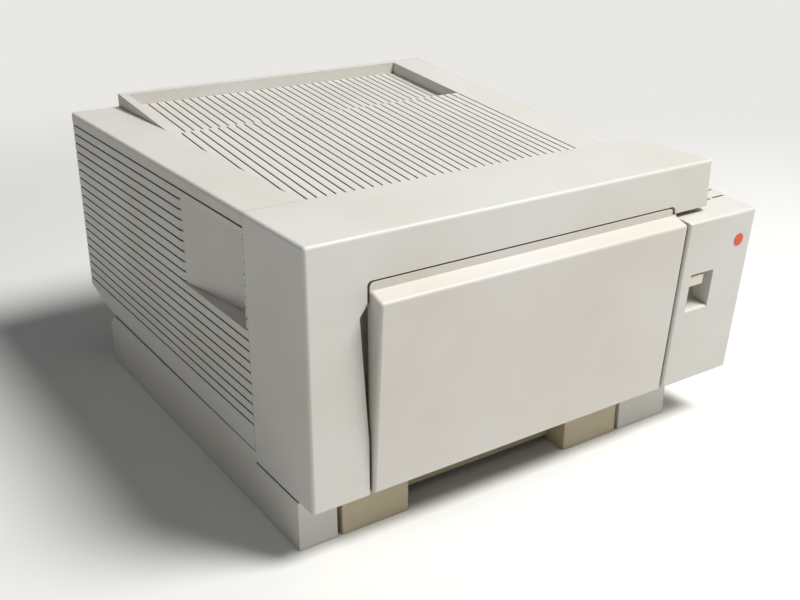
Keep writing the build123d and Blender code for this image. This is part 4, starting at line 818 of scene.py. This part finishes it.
    @staticmethod
    def row(piece: Piece, length: float, count: int, name: str) -> Piece:
        """Copies a finished piece evenly along X.

        Args:
            piece: The piece, which is used up.
            length: From the first copy, in the piece's place, to the last.
            count: How many copies there are.
            name: Name of the joined piece.

        Returns:
            The joined piece.
        """
        step = length / (count - 1)
        places = [Matrix.Translation((step * i, 0, 0)) for i in range(count)]
        return Bench.repeat(piece, places, name)

    @staticmethod
    def copy_of(node: str, name: str) -> Piece:
        """A merged copy of a CAD node's mesh, with its flat faces joined.

        Args:
            node: The CAD node.
            name: The new piece's name.

        Returns:
            The new piece.
        """
        piece = bpy.data.objects.new(name, frame["nodes"][node].data.copy())
        bpy.context.scene.collection.objects.link(piece)
        Bench.only(piece)
        bpy.ops.object.mode_set(mode="EDIT")
        bpy.ops.mesh.select_all(action="SELECT")
        bpy.ops.mesh.remove_doubles(threshold=Bench.MERGED_MM * MM)
        bpy.ops.mesh.dissolve_limited(angle_limit=Bench.FLAT)
        bpy.ops.object.mode_set(mode="OBJECT")
        return piece


@dataclass(frozen=True)
class Moulding:
    """A part whose edges the mould or the press leaves slightly round."""

    node: str
    edge_mm: float

    def build(self, wardrobe: Wardrobe) -> Piece:
        """Copies the CAD shape, rounds its edges and lets it stand for the node.

        Args:
            wardrobe: The finishes.

        Returns:
            The new piece.
        """
        piece = Bench.copy_of(self.node, self.node + "_moulding")
        Bench.round_edges(piece, self.edge_mm)
        return wardrobe.stand_in(piece, self.node)


@dataclass
class Casework:
    """The outer mouldings of the printer, and what is set in them."""

    shells: tuple[Moulding, ...] = (
        Moulding("front_fascia", 0.5),
        Moulding("left_side_cover", 0.25),
        Moulding("top_cover", 0.25),
        Moulding("rear_cover", 0.5),
        Moulding("tray_door", 0.5),
        Moulding("right_housing", 0.5),
        Moulding("base_housing", 0.6),
        Moulding("chassis_pan", 0.6),
        Moulding("release_latch", 0.6),
        Moulding("indicator_lens", 0.3),
        Moulding("rubber_feet", 0.8),
    )

    def build(self, wardrobe: Wardrobe) -> list[Piece]:
        """Makes each moulding in turn."""
        return [shell.build(wardrobe) for shell in self.shells]


@dataclass(frozen=True)
class RibRow:
    """Equal ribs in a row across a node's top, drawn in at their tops as a mould needs."""

    name: str
    node: str
    count: int
    ends_mm: float
    depth_mm: tuple[float, float]
    width_mm: float
    height_mm: float
    draft: Place = (0.6, 0.97, 1.0)
    sunk_mm: float = 0.3
    edge_mm: float = 0.2

    def build(self, wardrobe: Wardrobe) -> Piece:
        """Models one rib and copies it along the row.

        Args:
            wardrobe: The finishes.

        Returns:
            The ribs, joined.
        """
        low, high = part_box(self.node)
        left, right = low.x + self.ends_mm * MM, high.x - self.ends_mm * MM
        front, rear = (low.y + depth * MM for depth in self.depth_mm)
        width, height = self.width_mm * MM, self.height_mm * MM
        start = (left, front, high.z - self.sunk_mm * MM)
        rib = Bench.block(self.name, start, (left + width, rear, high.z + height))
        Bench.pick(rib, (0, 0, 1))
        bpy.ops.transform.resize(value=self.draft)
        Bench.round_edges(rib, self.edge_mm)
        ribs = Bench.row(rib, right - left - width, self.count, self.name)
        return wardrobe.add_to(ribs, self.node)


@dataclass
class CrossScrew:
    """A pan-head screw with a cross recess."""

    radius_mm: float = 3.2
    height_mm: float = 1.8
    recess_mm: Place = (3.6, 0.9, 1.1)
    crown: Place = (0.82, 0.82, 1.0)
    edge_mm: float = 0.15

    def build(self, name: str, places: list[Place]) -> Piece:
        """Models one head, seen from above, and copies it to each place.

        Args:
            name: Name of the joined heads.
            places: Where the middle of each head sits on its surface.

        Returns:
            The heads, joined.
        """
        top = self.height_mm * MM
        head = Bench.bar(name, (0, 0, 0), (0, 0, top), self.radius_mm * MM)
        Bench.pick(head, (0, 0, 1))
        bpy.ops.transform.resize(value=self.crown)
        length, width, depth = (size * MM for size in self.recess_mm)
        for x, y in ((length / 2, width / 2), (width / 2, length / 2)):
            Bench.cut(head, Bench.block("recess", (-x, -y, top - depth), (x, y, top + MM)))
        Bench.round_edges(head, self.edge_mm)
        return Bench.repeat(head, [Matrix.Translation(place) for place in places], name)


@dataclass
class PaperDoor:
    """Inside of the front door: the grooved plate that paper slides on, and its side guides."""

    guides: tuple[Moulding, ...] = (
        Moulding("paper_guide_left", 0.4),
        Moulding("paper_guide_right", 0.4),
    )
    groove_count: int = 15
    groove_mm: tuple[float, float] = (3.0, 0.7)
    side_margin_mm: float = 24.0
    end_margin_mm: float = 6.0
    groove_edge_mm: float = 0.2
    foot_face_mm: float = 2.3
    grip_rib_mm: Place = (14.0, 0.7, 1.2)
    grip_sunk_mm: float = 0.2
    grip_draft: Place = (0.9, 1.0, 0.5)
    grip_edge_mm: float = 0.15
    grip_rib_count: int = 7
    grip_rib_pitch_mm: float = 3.0

    def build_plate(self, wardrobe: Wardrobe) -> Piece:
        """Cuts the grooves, which keep the sheets from clinging, into the plate.

        Args:
            wardrobe: The finishes.

        Returns:
            The grooved plate.
        """
        low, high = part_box("tray_plate")
        width, depth = (size * MM for size in self.groove_mm)
        side, end = self.side_margin_mm * MM, self.end_margin_mm * MM
        left = low.x + side
        bottom, top = low.z + end, high.z - end
        corners = (left, high.y - depth, bottom), (left + width, high.y + MM, top)
        groove = Bench.block("groove", *corners)
        length = high.x - low.x - 2 * side - width
        plate = Bench.copy_of("tray_plate", "tray_plate_grooved")
        Bench.cut(plate, Bench.row(groove, length, self.groove_count, "grooves"))
        Bench.round_edges(plate, self.groove_edge_mm)
        return wardrobe.stand_in(plate, "tray_plate")

    def build_grip(self, wardrobe: Wardrobe, node: str) -> Piece:
        """Adds the ribs for a fingertip on a side guide's foot.

        Args:
            wardrobe: The finishes.
            node: The side guide.

        Returns:
            The ribs, joined.
        """
        low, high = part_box(node)
        length, height, width = (size * MM for size in self.grip_rib_mm)
        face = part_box("tray_plate")[1].y + self.foot_face_mm * MM
        middle = (low + high) / 2
        start = (middle.x - length / 2, face - self.grip_sunk_mm * MM, middle.z)
        end = (start[0] + length, face + height, middle.z + width)
        rib = Bench.block(node + "_grip", start, end)
        Bench.pick(rib, (0, 1, 0))
        bpy.ops.transform.resize(value=self.grip_draft)
        Bench.round_edges(rib, self.grip_edge_mm)
        pitch = self.grip_rib_pitch_mm * MM
        rows = range(self.grip_rib_count)
        places = [Matrix.Translation((0, 0, pitch * (i - self.grip_rib_count / 2))) for i in rows]
        return wardrobe.add_to(Bench.repeat(rib, places, node + "_grip"), node)

    def build(self, wardrobe: Wardrobe) -> list[Piece]:
        """Makes the plate and both guides.

        Args:
            wardrobe: The finishes.

        Returns:
            The new pieces.
        """
        pieces = [self.build_plate(wardrobe)]
        for guide in self.guides:
            pieces += [guide.build(wardrobe), self.build_grip(wardrobe, guide.node)]
        return pieces


@dataclass
class GearTrain:
    """Moulded gears: a thin web between rim and hub, with round holes that save material."""

    gears: tuple[str, ...] = (
        "main_gear",
        "drum_idler_gear",
        "fuser_idler_gear",
        "registration_idler_gear",
        "exit_idler_gear",
    )
    rim_mm: float = 4.2
    hub_mm: float = 5.5
    recess_mm: float = 1.8
    hole_from_mm: float = 25.0
    hole_mm: float = 5.0
    holes: int = 6
    rim_sides: int = 64
    hub_sides: int = 32

    def recess(self, x: float, middle: Vector, radius: float) -> Piece:
        """The ring that is hollowed out of one side of a gear, round the hub.

        Args:
            x: Where that side is.
            middle: The gear's middle.
            radius: The gear's tip radius.

        Returns:
            The ring.
        """
        depth = self.recess_mm * MM
        ends = [(x + reach, middle.y, middle.z) for reach in (-depth, depth)]
        ring = Bench.bar("recess", *ends, radius - self.rim_mm * MM, self.rim_sides)
        past = [(x + reach, middle.y, middle.z) for reach in (-2 * depth, 2 * depth)]
        Bench.cut(ring, Bench.bar("hub", *past, self.hub_mm * MM, self.hub_sides))
        return ring

    def build_gear(self, wardrobe: Wardrobe, node: str) -> Piece:
        """Hollows out both sides of a gear and drills its web.

        Args:
            wardrobe: The finishes.
            node: The gear.

        Returns:
            The finished gear.
        """
        low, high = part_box(node)
        middle = (low + high) / 2
        radius = (high.z - low.z) / 2
        gear = Bench.copy_of(node, node + "_webbed")
        for side in (low.x, high.x):
            Bench.cut(gear, self.recess(side, middle, radius))
        if radius > self.hole_from_mm * MM:
            out = (radius + self.hub_mm * MM - self.rim_mm * MM) / 2
            ends = [(x, middle.y + out, middle.z) for x in (low.x - MM, high.x + MM)]
            hole = Bench.bar("hole", *ends, self.hole_mm * MM)
            to_axis = Matrix.Translation(middle)
            step = math.tau / self.holes
            spins = [Matrix.Rotation(step * i, 4, "X") for i in range(self.holes)]
            places = [to_axis @ spin @ to_axis.inverted() for spin in spins]
            Bench.cut(gear, Bench.repeat(hole, places, "holes"))
        Bench.smooth(gear)
        return wardrobe.stand_in(gear, node)

    def build(self, wardrobe: Wardrobe) -> list[Piece]:
        """Makes each gear in turn."""
        return [self.build_gear(wardrobe, node) for node in self.gears]


@dataclass
class PaperPath:
    """Guides of the sheet's way. Ribs on the exit guide keep a warm sheet from sticking."""

    rib_count: int = 13
    rib_mm: float = 1.4
    proud_mm: float = 1.2
    ends_mm: float = 14.0
    edge_mm: float = 0.2
    parts: tuple[Moulding, ...] = (
        Moulding("exit_guide", 0.3),
        Moulding("paper_turn_guide", 0.3),
        Moulding("separation_pad", 0.3),
        Moulding("lift_plate", 0.3),
    )

    def build_ribs(self, wardrobe: Wardrobe) -> Piece:
        """Slices one rib from the exit guide's own form, moves it forward and copies it.

        Args:
            wardrobe: The finishes.

        Returns:
            The ribs, joined.
        """
        low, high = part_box("exit_guide")
        left = low.x + self.ends_mm * MM
        corners = (left, low.y - MM, low.z - MM), (left + self.rib_mm * MM, high.y, high.z)
        slab = Bench.block("slab", *corners)
        rib = Bench.copy_of("exit_guide", "exit_guide_ribs")
        Bench.cut(rib, slab, "INTERSECT")
        Bench.only(rib)
        bpy.ops.object.mode_set(mode="EDIT")
        bpy.ops.mesh.select_all(action="SELECT")
        bpy.ops.transform.translate(value=(0, -self.proud_mm * MM, 0))
        Bench.round_edges(rib, self.edge_mm)
        length = high.x - low.x - 2 * self.ends_mm * MM
        return wardrobe.add_to(Bench.row(rib, length, self.rib_count, rib.name), "exit_guide")

    def build(self, wardrobe: Wardrobe) -> list[Piece]:
        """Makes the guides and the ribs."""
        return [*(part.build(wardrobe) for part in self.parts), self.build_ribs(wardrobe)]


@dataclass
class ImageUnit:
    """The toner cartridge: its mouldings, the stiffening ribs of its lid and its grip."""

    shells: tuple[Moulding, ...] = (Moulding("cartridge_body", 0.8), Moulding("toner_hopper", 1.2))
    rows: tuple[RibRow, ...] = (
        RibRow("bin_ribs", "cartridge_body", 15, 12.0, (5.0, 33.0), 1.6, 1.4),
        RibRow("grip_ribs", "toner_hopper", 16, 91.0, (31.5, 36.5), 1.6, 0.9),
    )

    def build(self, wardrobe: Wardrobe) -> list[Piece]:
        """Makes the mouldings and their ribs."""
        return [part.build(wardrobe) for part in self.shells + self.rows]


@dataclass
class ScrewedCase:
    """A moulded case with ribs on its top and a screw at each end of every screw column."""

    shell: Moulding
    ribs: RibRow
    screw_name: str
    screw_in_mm: float
    screw_columns: int

    def build(self, wardrobe: Wardrobe) -> list[Piece]:
        """Makes the case, its ribs and its screws.

        Args:
            wardrobe: The finishes.

        Returns:
            The new pieces.
        """
        pieces = [self.shell.build(wardrobe), self.ribs.build(wardrobe)]
        low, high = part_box(self.shell.node)
        inset = self.screw_in_mm * MM
        step = (high.x - low.x - 2 * inset) / (self.screw_columns - 1)
        columns = (low.x + inset + step * i for i in range(self.screw_columns))
        rows = (low.y + inset, high.y - inset)
        places = [(x, y, high.z) for x in columns for y in rows]
        heads = CrossScrew().build(self.screw_name, places)
        return [*pieces, wardrobe.add_to(heads, self.shell.node, Slot.BRIGHT)]


@dataclass
class Fuser(ScrewedCase):
    """The fuser's casing with its cooling ribs and its four screws."""

    shell: Moulding = Moulding("fuser_frame", 0.8)
    ribs: RibRow = RibRow("fuser_ribs", "fuser_frame", 27, 16.0, (4.0, 40.0), 1.8, 2.4)
    screw_name: str = "fuser_screws"
    screw_in_mm: float = 7.0
    screw_columns: int = 2


@dataclass
class Scanner(ScrewedCase):
    """The laser scanner's tray, and its ribbed lid with six screws."""

    shell: Moulding = Moulding("scanner_housing", 0.6)
    ribs: RibRow = RibRow("scanner_lid_ribs", "scanner_housing", 9, 30.0, (20.0, 90.0), 2.2, 1.0)
    screw_name: str = "scanner_screws"
    screw_in_mm: float = 9.0
    screw_columns: int = 3


@dataclass
class RearPanel:
    """Sockets, switch and fan of the rear wall, and the main motor."""

    parts: tuple[Moulding, ...] = (
        Moulding("power_inlet", 0.4),
        Moulding("power_rocker", 0.3),
        Moulding("port_connectors", 0.3),
        Moulding("fan_frame", 0.6),
        Moulding("fan_rotor", 0.3),
        Moulding("main_motor", 0.8),
    )
    pin_radius_mm: float = 0.6
    pin_length_mm: float = 5.0
    pin_ring_mm: float = 2.6
    pin_sides: int = 10
    pin_nose: Place = (0.5, 1.0, 0.5)
    pins_round: int = 7
    round_middles_mm: tuple[float, ...] = (7.0, 33.0)
    wide_first_mm: float = 64.0
    wide_pins: int = 13
    wide_pitch_mm: float = 2.77
    wide_row_mm: float = 1.3
    floor_mm: float = 7.0

    def pin_places(self, low: Vector, high: Vector) -> list[Matrix]:
        """Where the contact pins go, from one that stands at zero in X and Z.

        Args:
            low: Lowest corner of the sockets.
            high: Highest corner of the sockets.

        Returns:
            One place for each pin.
        """
        middle_z = (low.z + high.z) / 2
        ring = self.pin_ring_mm * MM
        spots = []
        for middle in self.round_middles_mm:
            # One place of the ring, low on one side, stays empty.
            for i in range(self.pins_round):
                angle = math.tau * (i + 0.5) / (self.pins_round + 1) - math.pi / 2
                across, up = ring * math.cos(angle), ring * math.sin(angle)
                spots.append((low.x + middle * MM + across, middle_z + up))
        row = self.wide_row_mm
        for pins, stagger, up_mm in ((self.wide_pins, 0.0, row), (self.wide_pins - 1, 0.5, -row)):
            for i in range(pins):
                x = self.wide_first_mm + (i + stagger) * self.wide_pitch_mm
                spots.append((low.x + x * MM, middle_z + up_mm * MM))
        return [Matrix.Translation((x, 0, z)) for x, z in spots]

    def build_pins(self, wardrobe: Wardrobe) -> Piece:
        """Models one round-nosed contact pin and copies it into each socket.

        Args:
            wardrobe: The finishes.

        Returns:
            The pins, joined.
        """
        low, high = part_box("port_connectors")
        floor = high.y - self.floor_mm * MM
        tip = (0, floor + self.pin_length_mm * MM, 0)
        radius = self.pin_radius_mm * MM
        pin = Bench.bar("socket_pins", (0, floor - MM, 0), tip, radius, self.pin_sides)
        Bench.pick(pin, (0, 1, 0))
        bpy.ops.transform.resize(value=self.pin_nose)
        Bench.smooth(pin)
        pins = Bench.repeat(pin, self.pin_places(low, high), "socket_pins")
        return wardrobe.add_to(pins, "port_connectors", Slot.BRIGHT)

    def build(self, wardrobe: Wardrobe) -> list[Piece]:
        """Makes the mouldings and the pins."""
        return [*(part.build(wardrobe) for part in self.parts), self.build_pins(wardrobe)]


@dataclass
class Lamp:
    """One soft lamp, aimed at the printer."""

    name: str
    place: Place
    size: float
    watts: float

    def build(self, target: Vector) -> None:
        """Adds the lamp, turned towards a target.

        Args:
            target: What it is aimed at.
        """
        light = bpy.data.lights.new(self.name, "AREA")
        light.shape = "DISK"
        light.size = self.size
        light.energy = self.watts
        holder = bpy.data.objects.new(self.name, light)
        holder.location = self.place
        holder.rotation_euler = (target - Vector(self.place)).to_track_quat("-Z", "Y").to_euler()
        bpy.context.scene.collection.objects.link(holder)


@dataclass
class Studio:
    """Floor, lamps and the camera of the photograph."""

    camera_at: Place = (-0.45445, -0.69068, 0.41922)
    camera_turn: Place = (67.18, 0.0, -33.83)
    lens_mm: float = 47.38
    sensor_mm: float = 36.0
    clip_near: float = 0.01
    target: Place = (0.0, 0.0, 0.12)
    floor_size: float = 30.0
    pale: str = "#E9E8E4"
    sky: str = "#E8EBF0"
    near: float = 0.45
    far: float = 1.3
    ambient: float = 0.16
    lamps: tuple[Lamp, ...] = (
        Lamp("key", (1.1, -1.2, 2.6), 1.2, 112.0),
        Lamp("fill", (-1.8, -1.2, 1.0), 1.6, 2.0),
    )

    def build_floor(self) -> None:
        """Adds the plain pale floor, which far away is as pale as the world behind it."""
        Bench.clear()
        bpy.ops.mesh.primitive_plane_add(size=self.floor_size, location=(0, 0, 0))
        floor = bpy.context.object
        floor.name = "floor"
        material = bpy.data.materials.new("floor_paper")
        material.use_nodes = True
        tree = material.node_tree
        tree.nodes.clear()
        place = add_node(tree, "TexCoord").outputs["Object"]
        away = add_node(tree, "VectorMath", {0: place}, operation="LENGTH").outputs["Value"]
        fade = {"Value": away, "From Min": self.near, "From Max": self.far}
        faded = add_node(tree, "MapRange", fade, interpolation_type="SMOOTHSTEP")
        seen = add_node(tree, "LightPath").outputs["Is Camera Ray"]
        shown = add_node(tree, "Math", {0: faded, 1: seen}, operation="MULTIPLY")
        paper = add_node(tree, "BsdfDiffuse", {"Color": linear(self.pale)})
        even = add_node(tree, "Emission", {"Color": linear(self.pale), "Strength": 1.0})
        both = add_node(tree, "MixShader", {0: shown, 1: paper, 2: even})
        add_node(tree, "OutputMaterial", {"Surface": both})
        floor.data.materials.append(material)

    def build_world(self) -> None:
        """Adds an even pale surrounding, seen by the camera, in gloss and through glass."""
        world = bpy.data.worlds.new("studio")
        bpy.context.scene.world = world
        world.use_nodes = True
        tree = world.node_tree
        tree.nodes.clear()
        rays = add_node(tree, "LightPath").outputs
        gloss = {0: rays["Is Camera Ray"], 1: rays["Is Glossy Ray"]}
        seen = add_node(tree, "Math", gloss, operation="MAXIMUM")
        glass = {0: seen, 1: rays["Is Transmission Ray"]}
        seen = add_node(tree, "Math", glass, operation="MAXIMUM")
        dim = {"Color": linear(self.sky), "Strength": self.ambient}
        ambient = add_node(tree, "Background", dim)
        shown = add_node(tree, "Background", {"Color": linear(self.pale), "Strength": 1.0})
        both = add_node(tree, "MixShader", {0: seen, 1: ambient, 2: shown})
        add_node(tree, "OutputWorld", {"Surface": both})

    def build_camera(self) -> None:
        """Adds the camera at the photograph's angle."""
        camera = bpy.data.cameras.new("camera")
        camera.lens = self.lens_mm
        camera.sensor_width = self.sensor_mm
        camera.clip_start = self.clip_near
        holder = bpy.data.objects.new("camera", camera)
        holder.location = self.camera_at
        holder.rotation_euler = [math.radians(a) for a in self.camera_turn]
        bpy.context.scene.collection.objects.link(holder)
        bpy.context.scene.camera = holder

    def build(self) -> None:
        """Builds the whole studio."""
        self.build_floor()
        self.build_world()
        self.build_camera()
        for lamp in self.lamps:
            lamp.build(Vector(self.target))
        bpy.context.scene.view_settings.view_transform = "Standard"


def main() -> None:
    """Builds the printer's looks and the studio."""
    logging.basicConfig(level=logging.INFO, format="%(name)s: %(message)s")
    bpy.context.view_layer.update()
    wardrobe = Wardrobe()
    wardrobe.dress_frame()
    paper = (PaperDoor(), PaperPath())
    inside = (GearTrain(), ImageUnit(), Fuser(), Scanner())
    for sub_assembly in (Casework(), *paper, *inside, RearPanel()):
        for piece in sub_assembly.build(wardrobe):
            LOG.info("%s: %d faces", piece.name, len(piece.data.polygons))
    Studio().build()


if __name__ == "__main__":
    main()
